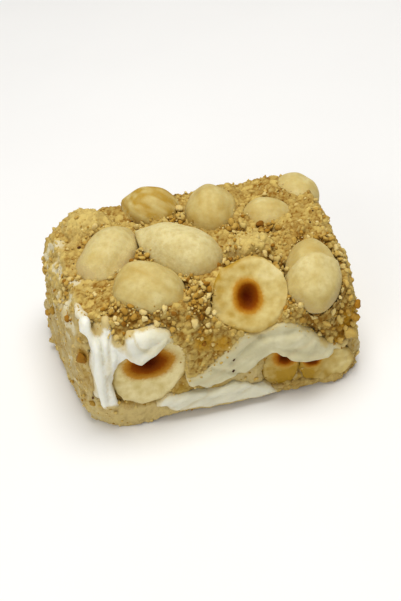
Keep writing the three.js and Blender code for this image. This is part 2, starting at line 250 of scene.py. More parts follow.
# Materials

class Nodes:
    """A material's node tree with short ways to add to it."""

    def __init__(self, name):
        self.material = bpy.data.materials.new(name)
        self.material.use_nodes = True
        self.tree = self.material.node_tree
        self.shader = self.tree.nodes["Principled BSDF"]
        self.place = self.add("ShaderNodeTexCoord").outputs["Object"]

    def fill(self, node, inputs):
        """Sets inputs, by name or number, to values or to what other nodes give."""
        for key, value in inputs.items():
            if isinstance(value, bpy.types.NodeSocket):
                self.tree.links.new(value, node.inputs[key])
            else:
                node.inputs[key].default_value = value

    def add(self, kind, inputs=None, **settings):
        node = self.tree.nodes.new(kind)
        for key, value in settings.items():
            setattr(node, key, value)
        self.fill(node, inputs or {})
        return node

    def value(self, layer):
        return self.add("ShaderNodeAttribute", attribute_name=layer).outputs["Fac"]

    def noise(self, size, detail=3.0, roughness=0.55):
        inputs = {"Vector": self.place, "Scale": 1 / size, "Detail": detail, "Roughness": roughness}
        return self.add("ShaderNodeTexNoise", inputs).outputs["Fac"]

    def ramp(self, factor, stops):
        node = self.add("ShaderNodeValToRGB", {"Fac": factor})
        elements = node.color_ramp.elements
        for _ in range(len(stops) - 2):
            elements.new(0.5)
        for element, (position, colour) in zip(elements, stops):
            element.position = position
            element.color = (*colour, 1)
        return node.outputs["Color"]

    def mix(self, factor, first, second):
        node = self.add("ShaderNodeMix", {"Factor": factor}, data_type="RGBA")
        colours = [key for key, socket in enumerate(node.inputs) if socket.type == "RGBA"]
        for key, value in zip(colours, (first, second)):
            self.fill(node, {key: value if isinstance(value, bpy.types.NodeSocket) else (*value, 1)})
        return next(socket for socket in node.outputs if socket.type == "RGBA")

    def math(self, operation, first, second):
        return self.add("ShaderNodeMath", {0: first, 1: second}, operation=operation).outputs["Value"]

    def varied(self, layer, texture, amount):
        """A stored value made uneven by a texture that is 0.5 on average."""
        swing = self.math("MULTIPLY", self.math("SUBTRACT", texture, 0.5), amount)
        return self.math("ADD", self.value(layer), swing)

    def bump(self, height, depth):
        node = self.add("ShaderNodeBump", {"Strength": 1.0, "Distance": depth, "Height": height})
        self.fill(self.shader, {"Normal": node.outputs["Normal"]})

    def finish(self, colour, roughness, specular, soft=0.0, radius=(1, 1, 1)):
        self.fill(self.shader, {
            "Base Color": colour, "Roughness": roughness, "Specular IOR Level": specular,
            "Subsurface Weight": soft, "Subsurface Radius": radius, "Subsurface Scale": MM,
        })
        return self.material


BLACK = (0, 0, 0)
WHITE = (1, 1, 1)
FIBRE_CREAM = (0.62, 0.54, 0.32)
STAIN_CREAM = (0.56, 0.42, 0.14)
NOUGAT_BELOW = (0.68, 0.61, 0.40)
BED_BROWN = (0.48, 0.24, 0.006)
MOTTLE_TAN = (0.47, 0.34, 0.10)
DUST_STRAW = (0.52, 0.40, 0.17)


def grey(level):
    return (level, level, level)


def nougat_material():
    """White to ivory, slightly see-through, with pulled fibres, a cream stain by nuts and crumbs, and painted
    shade in the creases.
    """
    nodes = Nodes("white_nougat")
    clouds = nodes.noise(3.5 * MM, detail=4.0)
    fibres = nodes.varied("fibre", nodes.noise(0.6 * MM), 0.3)
    white = nodes.ramp(clouds, [(0.32, (0.76, 0.76, 0.66)), (0.7, (0.88, 0.88, 0.80))])
    ivory = nodes.ramp(clouds, [(0.32, (0.52, 0.47, 0.26)), (0.7, (0.67, 0.63, 0.42))])
    colour = nodes.mix(nodes.varied("ivory", clouds, 0.6), white, ivory)
    furrows = nodes.ramp(fibres, [(0.2, grey(0.6)), (0.48, BLACK)])
    colour = nodes.mix(furrows, colour, FIBRE_CREAM)
    stain = nodes.varied("stain", nodes.noise(0.9 * MM), 0.9)
    colour = nodes.mix(nodes.ramp(stain, [(0.15, BLACK), (0.9, grey(0.9))]), colour, STAIN_CREAM)
    grain = nodes.math("MULTIPLY", nodes.noise(0.45 * MM), 0.6)
    nodes.bump(nodes.math("ADD", fibres, grain), 0.14 * MM)
    return nodes.finish(colour, 0.62, specular=0.25, soft=0.25, radius=(1.6, 1.4, 0.9))


def bed_material(name, deep, light, bare):
    """Packed crumbs, each grain with its own tone and painted shade in the pits, bare where nougat shows and
    browned in spots.
    """
    nodes = Nodes(name)
    fine = nodes.noise(0.5 * MM, detail=4.0, roughness=0.65)
    colour = nodes.ramp(nodes.varied("tone", fine, 0.8), [(0.05, deep), (0.9, light)])
    thin = nodes.varied("bare", fine, 0.7)
    colour = nodes.mix(thin, colour, nodes.ramp(thin, [(0.65, bare), (1.0, NOUGAT_BELOW)]))
    colour = nodes.mix(nodes.varied("browned", fine, 1.2), colour, BED_BROWN)
    nodes.bump(fine, 0.2 * MM)
    return nodes.finish(colour, 0.85, specular=0.1)


def crumb_material(name, dark, middle, light):
    nodes = Nodes(name)
    tone = nodes.varied("tone", nodes.noise(0.6 * MM), 0.8)
    colour = nodes.ramp(tone, [(0.0, dark), (0.5, middle), (1.0, light)])
    nodes.bump(nodes.noise(0.3 * MM), 0.12 * MM)
    return nodes.finish(colour, 0.75, specular=0.15, soft=0.08, radius=(0.6, 0.4, 0.15))


def kernel_material():
    """A roasted kernel without its skin: pale tan, golden where it is roasted, darker as painted shade
    underneath and past one kernel's seam, dusty low down.
    """
    nodes = Nodes("hazelnut")
    tone = nodes.varied("tone", nodes.noise(3.0 * MM), 0.9)
    colour = nodes.ramp(tone, [
        (0.0, (0.68, 0.59, 0.29)), (0.45, (0.58, 0.46, 0.17)), (1.0, (0.43, 0.26, 0.03)),
    ])
    mottle = nodes.noise(1.1 * MM, detail=4.0)
    colour = nodes.mix(nodes.ramp(mottle, [(0.42, BLACK), (0.68, grey(0.5))]), colour, MOTTLE_TAN)
    fine = nodes.noise(0.4 * MM, detail=4.0, roughness=0.65)
    dust = nodes.varied("dust", fine, 1.6)
    colour = nodes.mix(nodes.ramp(dust, [(0.35, BLACK), (0.75, WHITE)]), colour, DUST_STRAW)
    nodes.bump(nodes.math("ADD", fine, nodes.noise(1.4 * MM)), 0.1 * MM)
    return nodes.finish(colour, 0.6, specular=0.2, soft=0.12, radius=(1.2, 0.8, 0.3))


def cut_material():
    """The cream cut face of a kernel, golden in places and roasted brown round its hollow."""
    nodes = Nodes("hazelnut_cut")
    fine = nodes.noise(0.5 * MM, detail=4.0)
    cream = nodes.ramp(nodes.varied("gold", nodes.noise(1.8 * MM), 0.6), [
        (0.0, (0.80, 0.69, 0.36)), (0.35, (0.62, 0.49, 0.18)), (0.8, (0.40, 0.23, 0.012)),
    ])
    roast = nodes.varied("roast", fine, 0.2)
    brown = nodes.ramp(roast, [
        (0.05, (0.56, 0.37, 0.08)), (0.3, (0.45, 0.20, 0.012)),
        (0.6, (0.22, 0.05, 0.001)), (1.0, (0.07, 0.007, 0.0003)),
    ])
    colour = nodes.mix(nodes.ramp(roast, [(0.03, BLACK), (0.25, WHITE)]), cream, brown)
    shine = nodes.ramp(roast, [(0.1, grey(0.22)), (0.5, grey(0.02))])
    nodes.bump(nodes.math("ADD", fine, nodes.noise(1.3 * MM)), 0.08 * MM)
    return nodes.finish(colour, 0.55, specular=shine, soft=0.05, radius=(1.0, 0.7, 0.3))


def floor_material():
    nodes = Nodes("floor")
    colour = nodes.ramp(nodes.noise(60 * MM), [(0.3, grey(0.85)), (0.7, grey(0.87))])
    return nodes.finish(colour, 0.7, specular=0.2)


# Whole kernels

KERNEL_RINGS = 52
KERNEL_SIDES = 64
SEED_STEP = 3.0
OFF_AXIS = (0.31, 0.17, 0.94)
END_SHARE = 0.3

# Sharpness of the tip, fullness of the other end, golden roast and dust of crumbs. One kernel has stronger
# ridges, and one a seam across it, behind which it lies lower and carries a painted shadow, darker and
# duller.
WHOLE_KERNELS = [
    {"sharp": 0.4, "belly": 0.0, "gold": 0.24, "dust": 1.0},
    {"sharp": 0.85, "belly": 0.3, "gold": 0.02, "dust": 0.15},
    {"sharp": 0.9, "belly": 0.2, "gold": 0.42, "dust": 0.4},
    {"sharp": 0.45, "belly": 0.08, "gold": 0.52, "dust": 0.4},
    {"sharp": 0.6, "belly": 0.08, "gold": 0.80, "dust": 0.5, "ridges": 2.2},
    {"sharp": 0.3, "belly": 0.08, "gold": 0.24, "dust": 1.0, "seam": -12.4},
    {"sharp": 0.5, "belly": 0.08, "gold": 0.45, "dust": 0.6},
    {"sharp": 0.5, "belly": 0.08, "gold": 0.30, "dust": 0.5},
]

# Ridges along a kernel: height as a share of its radius, count, and how they turn with the seed
RIDGES = [(0.016, 5, 1), (0.010, 9, 2.3)]
KERNEL_WAVES = [(0.42, 6.5, 0), (0.18, 3.0, 1)]
SEAM_WAVES = [(0.5, 3, 2)]
SEAM_HALF = 0.25 * MM
SEAM_STEP = 0.5 * MM
SEAM_SHADOW_TONE = 0.3
SEAM_SHADOW_DUST = 0.3

# Golden tone in streaks and at the full end, painted shade on the underside, and dust near the crumbs
STREAK_PULL = 0.85
STREAK_SIZE = 1.2 * MM
STREAK_TONE = 0.5
FULL_END = (0.1, -0.5)
FULL_END_TONE = 0.15
SHADED_UNDERSIDE = (3 * MM, -4 * MM)
UNDERSIDE_SHADE_TONE = 0.3
DUST_REACH = 4.5 * MM
DUST_LEAST = 0.25
DUST_EVEN = 0.7
DUST_WAVES = [(0.5, 3, 6)]


def kernel_profile(turn, sharp, belly):
    """How wide a kernel is from its full end to its tip, as a share of its half width."""
    tipness = smoothstep(np.pi / 2, np.pi, turn)
    width = np.sin(turn) ** (1 + sharp * tipness) * (1 + belly * np.cos(turn))
    return width / width.max()


def kernel_axis(verts):
    """Middle, direction of the tip, length and width of a turned kernel."""
    middle = verts.mean(axis=0)
    offsets = verts - middle
    axis = np.linalg.svd(offsets, full_matrices=False)[2][0]
    along = offsets @ axis
    radius = np.linalg.norm(offsets - along[:, None] * axis, axis=1)
    reach = END_SHARE * np.abs(along).max()
    if radius[along > reach].mean() > radius[along < -reach].mean():
        axis = -axis
        along = -along
    middle = middle + axis * (along.max() + along.min()) / 2
    return middle, axis, along.max() - along.min(), 2 * radius.max()


def ring_turns(count):
    """Where the rings of a turned shape lie, from nothing at one end to half a turn at the other."""
    return np.linspace(0, np.pi, count + 1)[1:-1]


def lathe_points(middle, ways, length, turn, radii, section):
    """Rings of the section's points round an axis, which is the first of three ways, and its two ends."""
    axis, *across = ways
    rings = middle + (-0.5 * length * np.cos(turn))[:, None, None] * axis
    for way, places in zip(across, section.T):
        rings = rings + (radii * places)[..., None] * way
    ends = [middle - 0.5 * length * axis, middle + 0.5 * length * axis]
    return np.concatenate([rings.reshape(-1, 3), ends])


def lathe_faces(rings, sides):
    """Faces of rings of points, closed at both ends by two more points."""
    ring, side = np.meshgrid(np.arange(rings - 1), np.arange(sides), indexing="ij")
    after = (side + 1) % sides
    low, high = ring * sides, (ring + 1) * sides
    quads = np.stack([low + side, low + after, high + after, high + side], axis=-1).reshape(-1, 4)
    column = np.arange(sides)
    following = (column + 1) % sides
    last = (rings - 1) * sides
    first_cap = np.stack([following, column, np.full(sides, rings * sides)], axis=1)
    last_cap = np.stack([last + column, last + following, np.full(sides, rings * sides + 1)], axis=1)
    return np.concatenate([triangles(quads), first_cap, last_cap])


def kernel(node, look, seed):
    middle, axis, length, width = kernel_axis(node_arrays(node)[0])
    side = unit(np.cross(axis, OFF_AXIS))
    turn = ring_turns(KERNEL_RINGS)
    around = np.linspace(0, 2 * np.pi, KERNEL_SIDES, endpoint=False)
    ridges = sum(height * np.sin(count * around + share * seed) for height, count, share in RIDGES)
    ridges = ridges * look.get("ridges", 1)
    swell = kernel_profile(turn, look["sharp"], look["belly"])[:, None]
    radii = 0.5 * width * swell * (1 + ridges * np.sin(turn)[:, None])
    section = np.stack([np.cos(around), np.sin(around)], axis=1)
    verts = lathe_points(middle, (axis, side, np.cross(axis, side)), length, turn, radii, section)
    faces = lathe_faces(len(turn), KERNEL_SIDES)
    normals = vertex_normals(verts, faces)
    verts = verts + normals * (MM * layered(verts, KERNEL_WAVES, seed))[:, None]
    past_seam_shaded = np.zeros(len(verts))
    if "seam" in look:
        edge = MM * (look["seam"] + layered(verts, SEAM_WAVES, seed))
        past_seam_shaded = smoothstep(-SEAM_HALF, SEAM_HALF, verts[:, 1] - edge)
        verts = verts - normals * (SEAM_STEP * past_seam_shaded)[:, None]
    # Painted shadow: past the seam the kernel takes a darker tone
    tone = kernel_tone(verts, middle, axis, length, look, seed) + SEAM_SHADOW_TONE * past_seam_shaded
    return verts, faces, tone, past_seam_shaded


def kernel_tone(verts, middle, axis, length, look, seed):
    """Golden roast: more at the full end and in streaks on the golden kernels, and painted shade as a darker
    tone on the underside.
    """
    offsets = verts - middle
    along = offsets @ axis
    streaks = field(offsets - STREAK_PULL * along[:, None] * axis, STREAK_SIZE, seed)
    streaked = STREAK_TONE * look["gold"] * look.get("ridges", 1) * streaks
    full_end = FULL_END_TONE * smoothstep(*FULL_END, along / length)
    # Painted shade: the underside takes a darker golden tone
    low = UNDERSIDE_SHADE_TONE * smoothstep(*SHADED_UNDERSIDE, offsets[:, 2])
    return look["gold"] + full_end + low + streaked


def kernel_dust(verts, bed_tree, amount, seed):
    close = DUST_LEAST + (1 - DUST_LEAST) * nearness(bed_tree, verts, DUST_REACH)
    return amount * close * (DUST_EVEN + layered(verts, DUST_WAVES, seed))


# Halved kernels

CUT_RINGS = 60
FACE_COLUMNS = 51
BACK_COLUMNS = 14
CUT_SEED = 50.0
CUT_SHARP, CUT_BELLY = 0.45, 0.08

# Lean of the tip to the right, golden tone, how much more golden the right side is, how far the roast
# reaches past the hollow and lies below it, and how rough the face is
CUT_KERNELS = [
    {"lean": 0.7, "gold": 0.12, "slope": 0.0, "spread": 2.3, "drop": 1.35, "rough": 1.0},
    {"lean": 0.0, "gold": 0.8, "slope": 0.4, "spread": 2.5, "drop": 0.0, "rough": 3.0},
    {"lean": 0.0, "gold": 0.62, "slope": -0.35, "spread": 1.7, "drop": 0.5, "rough": 3.0},
    {"lean": 0.7, "gold": 0.10, "slope": 0.0, "spread": 2.2, "drop": 0.0, "rough": 1.0},
    {"lean": 0.0, "gold": 0.50, "slope": 0.2, "spread": 1.9, "drop": 0.0, "rough": 1.6},
    {"lean": 0.0, "gold": 0.35, "slope": 0.2, "spread": 1.6, "drop": 0.0, "rough": 1.6},
    {"lean": -1.83, "gold": 0.46, "slope": -0.1, "spread": 1.7, "drop": 0.0, "rough": 1.2},
]

# What tells the solids' cut faces and hollows from the rest: the share of a direction, and a depth
SAME_WAY = 0.9995
HOLLOW_WAY = 0.15
HOLLOW_BELOW = 0.02 * MM

# The cut face: its rim, its hollow and its relief
RIM_START = 0.86
RIM_ROUND = 0.35 * MM
RIM_GOLD = 0.25
HOLLOW_DEPTH = 1.2 * MM
HOLLOW_EDGE = (1.05, 0.1)
HOLLOW_WAVES = [(0.16, 2.6, 4)]
OUTLINE_WAVES = [(0.06, 4.5, 0), (0.03, 1.8, 1)]
FACE_WAVES = [(0.15, 3.2, 2), (0.08, 1.1, 3)]
GOLD_WAVES = [(0.22, 3.0, 5), (0.15, 1.2, 6)]


def cut_frame(node):
    """Direction and level of the cut face, and the place and reach of its hollow."""
    verts, tris = node_arrays(node)
    areas = face_areas(verts, tris)
    normals = unit(areas)
    size = np.linalg.norm(areas, axis=1)
    middles = sum(corner_points(verts, tris)) / 3
    scores = [size[(normals @ normal) > SAME_WAY].sum() for normal in normals]
    out = normals[int(np.argmax(scores))]
    level = (middles[(normals @ out) > SAME_WAY] @ out).mean()
    hollow = ((normals @ out) > HOLLOW_WAY) & (middles @ out < level - HOLLOW_BELOW)
    right = unit(np.cross(UP, out))
    up = np.cross(out, right)
    weights = (size * (normals @ out))[hollow]
    places = np.stack([middles[hollow] @ right, middles[hollow] @ up], axis=1)
    centre = np.average(places, axis=0, weights=weights)
    reach = 2 * np.sqrt(np.average((places - centre) ** 2, axis=0, weights=weights))
    return out, level, right, up, centre, reach


def cut_outline(verts, right, up, lean):
    """Middle, axis, side, length and width of the half kernel in its cut face."""
    axis = np.cos(lean) * up + np.sin(lean) * right
    side = np.cos(lean) * right - np.sin(lean) * up
    along, across = verts @ axis, verts @ side
    middle = (along.max() + along.min()) / 2 * axis + (across.max() + across.min()) / 2 * side
    return middle, axis, side, np.ptp(along), np.ptp(across)


def half_kernel(middle, ways, length, width):
    """A kernel with a flat face; also which points are on that face, and how close to its rim."""
    turn = ring_turns(CUT_RINGS)
    face = np.stack([np.linspace(-1, 1, FACE_COLUMNS), np.zeros(FACE_COLUMNS)], axis=1)
    bend = ring_turns(BACK_COLUMNS + 1)
    section = np.concatenate([face, np.stack([np.cos(bend), np.sin(bend)], axis=1)])
    radii = 0.5 * width * kernel_profile(turn, CUT_SHARP, CUT_BELLY)[:, None]
    verts = lathe_points(middle, ways, length, turn, radii, section)
    faces = lathe_faces(len(turn), len(section))
    on_face = np.append(np.tile(section[:, 1] == 0, len(turn)), [False, False])
    rim = np.append(np.tile(smoothstep(RIM_START, 1.0, np.abs(section[:, 0])), len(turn)), [1, 1])
    return verts, faces, on_face, rim


def cut_kernel(node, look, seed):
    """A half kernel with an uneven outline, a rounded rim and a hollow with roast round it."""
    out, level, right, up, hollow, reach = cut_frame(node)
    middle, axis, side, length, width = cut_outline(node_arrays(node)[0], right, up, look["lean"])
    middle = middle + out * level
    verts, faces, on_face, rim = half_kernel(middle, (axis, side, -out), length, width)
    offsets = verts - middle
    flat = offsets - (offsets @ out)[:, None] * out
    verts = verts + flat * layered(verts, OUTLINE_WAVES, seed)[:, None]
    u = (verts @ right - hollow[0]) / reach[0]
    v = (verts @ up - hollow[1]) / reach[1]
    ragged = np.hypot(u, v) + layered(verts, HOLLOW_WAVES, seed)
    sunk = HOLLOW_DEPTH * smoothstep(*HOLLOW_EDGE, ragged) + RIM_ROUND * rim
    sunk = sunk - MM * look["rough"] * layered(verts, FACE_WAVES, seed)
    verts = verts - out * (on_face * sunk)[:, None]
    roasted = np.hypot(u, v + look["drop"] * MM / reach[1]) + layered(verts, HOLLOW_WAVES, seed)
    roast = on_face * smoothstep(look["spread"], 0.0, roasted)
    rightness = (verts - middle) @ right / (0.5 * width)
    gold = look["gold"] + look["slope"] * rightness + RIM_GOLD * rim + layered(verts, GOLD_WAVES, seed)
    return verts, faces, roast, gold


# Nougat

NOUGAT_VOXEL = 0.35 * MM
NOUGAT_ROUNDS = 40
NOUGAT_BACK = -0.508
NOUGAT_WAVES = [(0.32, 4.5, 5), (0.06, 1.3, 6)]

# Soft rims of nougat on the front, each a row of [x, z, half width, how far it stands out]
RIM_SUNK = 1.0
BALL_LEVEL = 3
BALLS_A_STRETCH = 10
BEFORE_FRONT = -60
NOUGAT_RIMS = [
    [(-15.6, 19.6, 0.8, 0.5), (-13.9, 18.8, 1.0, 1.1), (-11.2, 20.6, 1.0, 1.1), (-8.8, 22.2, 0.5, 0.6)],
    [(-15.2, 22.6, 1.2, 0.3), (-13.0, 22.4, 1.8, 0.7), (-10.4, 22.9, 1.1, 0.4)],
    [(11.6, 14.4, 0.7, 0.8), (14.3, 12.6, 0.9, 1.2), (18.4, 11.0, 0.9, 1.2), (22.8, 10.1, 0.5, 0.9)],
    [(5.5, 17.6, 1.2, 0.1), (11, 16.8, 2.0, 0.35), (15.5, 15.8, 2.4, 0.5), (19.0, 13.4, 1.6, 0.4)],
]

# A strand of nougat that lies over the left shoulder: places on it, its half width, and how deep it sinks
# in as a share of that
STRAND_SUNK = 0.1
SHOULDER_STRAND = [(-23.2, -17.6, 25.6, 0.9), (-23.4, -14.6, 26.6, 0.8), (-24.2, -10.4, 26.6, 0.4)]

# The front's left strands are set back, more so at their foot
STRANDS_LEFT = (-17.4, -18.4)
STRANDS_FRONT = (-13, -15)
STRANDS_TOP = (15, 21)
STRANDS_BACK = 0.45 * MM
FOOT_TOP = (10.5, 6.5)
FOOT_WAVES = [(1.5, 2.5, 33)]
FOOT_BACK = 1.3 * MM

# Spots where the nougat fades under crumbs, and its stain there and beside nuts and crumbs
FADED_SPOTS = [
    (-21.3, -21.2, 5.6, 3.2), (-24.1, -9.5, 26.4, 2.4), (-19.2, -17.2, 27.2, 2.6), (-20.9, -16.8, 25.3, 2.4),
    (-15.9, -18.6, 24.6, 2.4), (-12.8, -18.4, 25.2, 1.8), (26.5, -18.0, 12.0, 4.0), (22.4, -19.2, 14.0, 2.8),
    (13.5, -19.5, 3.0, 3.2), (-17.5, -19.0, 23.2, 2.2),
]
FADED_STAIN = 1.2
NUT_STAIN = 0.8
CRUMB_STAIN = 0.7
STAIN_REACH = 1.6 * MM

# Creases in the front's nougat: ends in [x, z], half width, depth, and how dark they are, as the cream of
# crumbs caught in them together with painted shade of the fold
CREASES = [
    {"ends": ((-21.0, 23.0), (-21.2, 10.0)), "width": 0.5, "depth": 0.45, "stain": 0.25},
    {"ends": ((3.5, 13.0), (9.5, 18.0)), "width": 0.8, "depth": 0.8, "stain": 0.2},
    {"ends": ((9.5, 18.0), (16.0, 17.6)), "width": 0.7, "depth": 0.5, "stain": 0.1},
    {"ends": ((-1.5, 13.0), (4.5, 9.6)), "width": 0.7, "depth": 0.6, "stain": 0.15},
    {"ends": ((-12.0, 4.4), (10.0, 5.0)), "width": 0.6, "depth": 0.35, "stain": 0.1},
]
CREASE_FADE = 2

# How the layers' boundaries warp: away from nuts and the floor, and less at the left end
WARP_WAVES = [(0.75, 4.6, 20), (0.22, 1.9, 24)]
WARP_CLEAR = (0.4 * MM, 3.2 * MM)
WARP_FLOOR = 3 * MM
WARP_LEFT = (-16 * MM, -18 * MM)
WARP_LEFT_LESS = 0.65

# Fibres: their angle at the left end, how much flatter they get, their sizes across, along and inwards
FIBRE_ANGLE = 88
FIBRE_SLANT = 62
FIBRE_TURN = (-19, -9)
FIBRE_SIZES = (1.1, 14, 5)
FIBRE_SEED = 3
FIBRE_HEIGHT = 0.22

# Ivory from the left end on, and less of it low down
IVORY_START = (-19, -4)
IVORY_LOW = 0.55
IVORY_RISE = (5, 10)


def front_depth(tree, x, z):
    """How far back the front of the solids is at a place on it."""
    hit = tree.ray_cast(Vector((x * MM, BEFORE_FRONT * MM, z * MM)), Vector((0, 1, 0)))[0]
    return min(hit[1] / MM, FRONT_LIMIT) if hit else FRONT_FACE


def stretches(rows):
    """Rows of numbers at even steps from each given row to the next."""
    rows = np.array(rows, float)
    for start, end in zip(rows[:-1], rows[1:]):
        for t in np.linspace(0, 1, BALLS_A_STRETCH):
            yield start * (1 - t) + end * t


def soft_rim(rows, tree):
    """A soft flat rim on the front face, as a row of overlapping flattened balls."""
    verts, faces = ball_shape(BALL_LEVEL)
    balls = []
    for x, z, width, proud in stretches(rows):
        depth = front_depth(tree, x, z) + RIM_SUNK
        ball = verts * np.array([width, proud + RIM_SUNK, width]) + np.array([x, depth, z])
        balls.append((ball * MM, faces))
    return joined(balls)


def shoulder_strand(tree):
    """A thin soft strand laid on the surface of the solids."""
    verts, faces = ball_shape(BALL_LEVEL)
    balls = []
    for *place, half in stretches(SHOULDER_STRAND):
        hit, normal, _, _ = tree.find_nearest(Vector(place) * MM)
        ball = verts - STRAND_SUNK * np.array(normal)
        balls.append((ball * half * MM + np.array(hit), faces))
    return joined(balls)


def creases(points):
    """Depth of the creases at points on the front, and their darker cream: crumb stain together with painted
    shade of the fold.
    """
    place = points[:, [0, 2]] / MM
    on_front = smoothstep(FRONT_LIMIT, FRONT_LIMIT - CREASE_FADE, points[:, 1] / MM)
    depth, stain = np.zeros(len(points)), np.zeros(len(points))
    for crease in CREASES:
        start, end = (np.array(point) for point in crease["ends"])
        way = end - start
        t = np.clip((place - start) @ way / (way @ way), 0, 1)
        away = np.linalg.norm(place - start - t[:, None] * way, axis=1)
        share = np.exp(-(away / crease["width"]) ** 2) * on_front
        depth = depth + crease["depth"] * share
        # Painted shade: the fold of each crease is darkened along with its crumb stain
        stain = np.maximum(stain, crease["stain"] * share)
    return depth, stain


def warped(verts, nuts_tree):
    """Moves all layers alike, so that their boundaries turn irregular and still meet."""
    near = distance_to(nuts_tree, verts, WARP_CLEAR[1])
    share = smoothstep(*WARP_CLEAR, near) * smoothstep(0, WARP_FLOOR, verts[:, 2])
    share = share * (1 - WARP_LEFT_LESS * smoothstep(*WARP_LEFT, verts[:, 0]))
    moved = verts.copy()
    for axis in (0, 2):
        moved[:, axis] += share * layered(verts, WARP_WAVES, axis) * MM
    return moved


def fibre_relief(points):
    """Pulled fibres: they run up at the left end and slant to the right beyond it."""
    x, y, z = in_mm(points)
    angle = np.radians(FIBRE_ANGLE - FIBRE_SLANT * smoothstep(*FIBRE_TURN, x))
    across = np.cos(angle) * z - np.sin(angle) * x
    along = np.cos(angle) * x + np.sin(angle) * z
    return field(np.stack([across, along, y], axis=1), np.array(FIBRE_SIZES), FIBRE_SEED)


def strands_set_back(verts):
    """The front's left strands lie level with the crumbs at their top, and in the coat at their foot."""
    x, y, z = in_mm(verts)
    share = smoothstep(*STRANDS_LEFT, x) * smoothstep(*STRANDS_FRONT, y)
    ragged = z + layered(verts, FOOT_WAVES)
    moved = verts.copy()
    back = STRANDS_BACK * smoothstep(*STRANDS_TOP, z) + FOOT_BACK * smoothstep(*FOOT_TOP, ragged)
    moved[:, 1] += share * back
    return moved


def nougat(node, rims, nuts_tree, crumb_tree):
    shape = joined([node_arrays(node)] + rims)
    verts, faces = remeshed(shape, NOUGAT_VOXEL)
    verts = softened(verts, faces, NOUGAT_ROUNDS, NOUGAT_BACK)
    covered = nearness(crumb_tree, verts, STAIN_REACH)
    verts = strands_set_back(warped(verts, nuts_tree))
    normals = vertex_normals(verts, faces)
    depth, dark = creases(verts)
    fibres = fibre_relief(verts)
    relief = FIBRE_HEIGHT * fibres + layered(verts, NOUGAT_WAVES)
    verts = verts + normals * (CLOSE_GAP + MM * (relief * (1 - covered) - depth))[:, None]
    faded = FADED_STAIN * spots(verts, FADED_SPOTS)
    by_nuts = NUT_STAIN * nearness(nuts_tree, verts, STAIN_REACH)
    stain = np.maximum.reduce([by_nuts, CRUMB_STAIN * covered, dark, faded])
    return verts, faces, stain, 0.5 + 0.5 * fibres


def ivory_share(verts):
    """The nougat is whitest at the left end of each cut face and ivory to the right of it."""
    x, y, z = in_mm(verts)
    from_middle = x * np.where(y > 0, -1, 1)
    high = IVORY_LOW + (1 - IVORY_LOW) * smoothstep(*IVORY_RISE, z)
    return smoothstep(*IVORY_START, from_middle) * high


# Crumb beds

TOP_VOXEL = 0.31 * MM
SIDE_VOXEL = 0.36 * MM
FILLING_VOXEL = 0.5 * MM
BED_ROUNDS = 8
BED_BACK = -0.53

# Relief of the beds: how rough each is, grains and finer grains, waves, and growth towards other solids
TOP_ROUGH = 1.0
SIDE_ROUGH = 0.65
FILLING_ROUGH = 0.6
RIGHT_ROUGH = 0.7
RIGHT_START = 7 * MM
GRAIN_SIZE = 1.5 * MM
GRAIN_HEIGHT = 0.8
GRAIN_TOP = 0.6
GRAIN_HASH = (12.99, 78.23, 37.72)
FINE_SIZE = 0.75 * MM
FINE_HEIGHT = 0.35
GRAIN_LEVEL = 0.35
PIT = (0, 0.25)
BED_WAVES = [(0.5, 3.5, 2)]
BED_SHUT = 0.3 * MM
SHUT_REACH = 0.9 * MM

# The bottom's front edge stands clear of the floor
EDGE_FRONT = (-16.0, -20.5)
EDGE_START = (-17, -11)
EDGE_TOP = (1.0, 4.0)
EDGE_LIFT = 1.3 * MM

# The smooth foot of the front: where it ends upwards and to the right
SMOOTH_TOP = (5, 8)
SMOOTH_END = (4, 10)

# Tones: the darkest grain's, what grains add, the painted shade that pits and hollows under heaps take, and
# what else adds
LEAST_TONE = 0.15
GRAIN_TONE = 0.5
FINE_TONE = 0.35
PIT_SHADE_TONE = 0.35
HEAP_HOLLOW_SHADE_TONE = 0.8
SMOOTH_TONE = 0.3
MOUND_TONE = 0.25

# Mounds that are dusted rather than heaped with crumbs
DUSTED_MOUNDS = [(-19.2, 12.0, 6.6), (11.0, -4.2, 5.2)]

# Browned spots, dusty spots where pale nougat shows, and spots where the filling is cream
BROWNED_SPOTS = [
    (-1.8, -19.9, 19.2, 2.8), (1.6, -19.8, 18.0, 2.6), (-24.5, -16.4, 18.6, 2.2), (28.5, -17.0, 15.0, 4.5),
    (25.0, -18.5, 10.5, 3.0),
]
DUSTY_SPOTS = [
    (-26.5, 9.0, 23.0, 8.5), (-26.5, 1.0, 23.0, 7.5), (-24.0, -5.5, 24.0, 6.5), (-29.0, -2.0, 17.0, 8.0),
    (-25.5, -11.0, 22.0, 6.0), (-28.0, 13.0, 12.0, 7.5), (-27.0, -10.0, 11.0, 7.5),
]
CREAM_SPOTS = [(6.0, -19.4, 7.2, 8.0)]
BROWNED = 0.72

# How bare the coat is: in patches on the sides, at the foot, on mounds, in spots and beside the white
PATCH_WAVES = [(1, 4, 12), (0.5, 1.6, 13)]
PATCH_EDGE = (-0.2, 0.4)
SIDE_BARE = 0.2
PATCH_BARE = 0.5
SMOOTH_BARE = 0.3
MOUND_BARE = 0.5
BROKEN_WAVES = [(1, 2.2, 14), (0.4, 0.9, 15)]
BROKEN_EDGE = (-0.25, 0.35)
DUSTY_BARE = 1.15
CREAM_BARE = 0.7
WHITE_BARE = 0.35
WHITE_REACH = 1.5 * MM

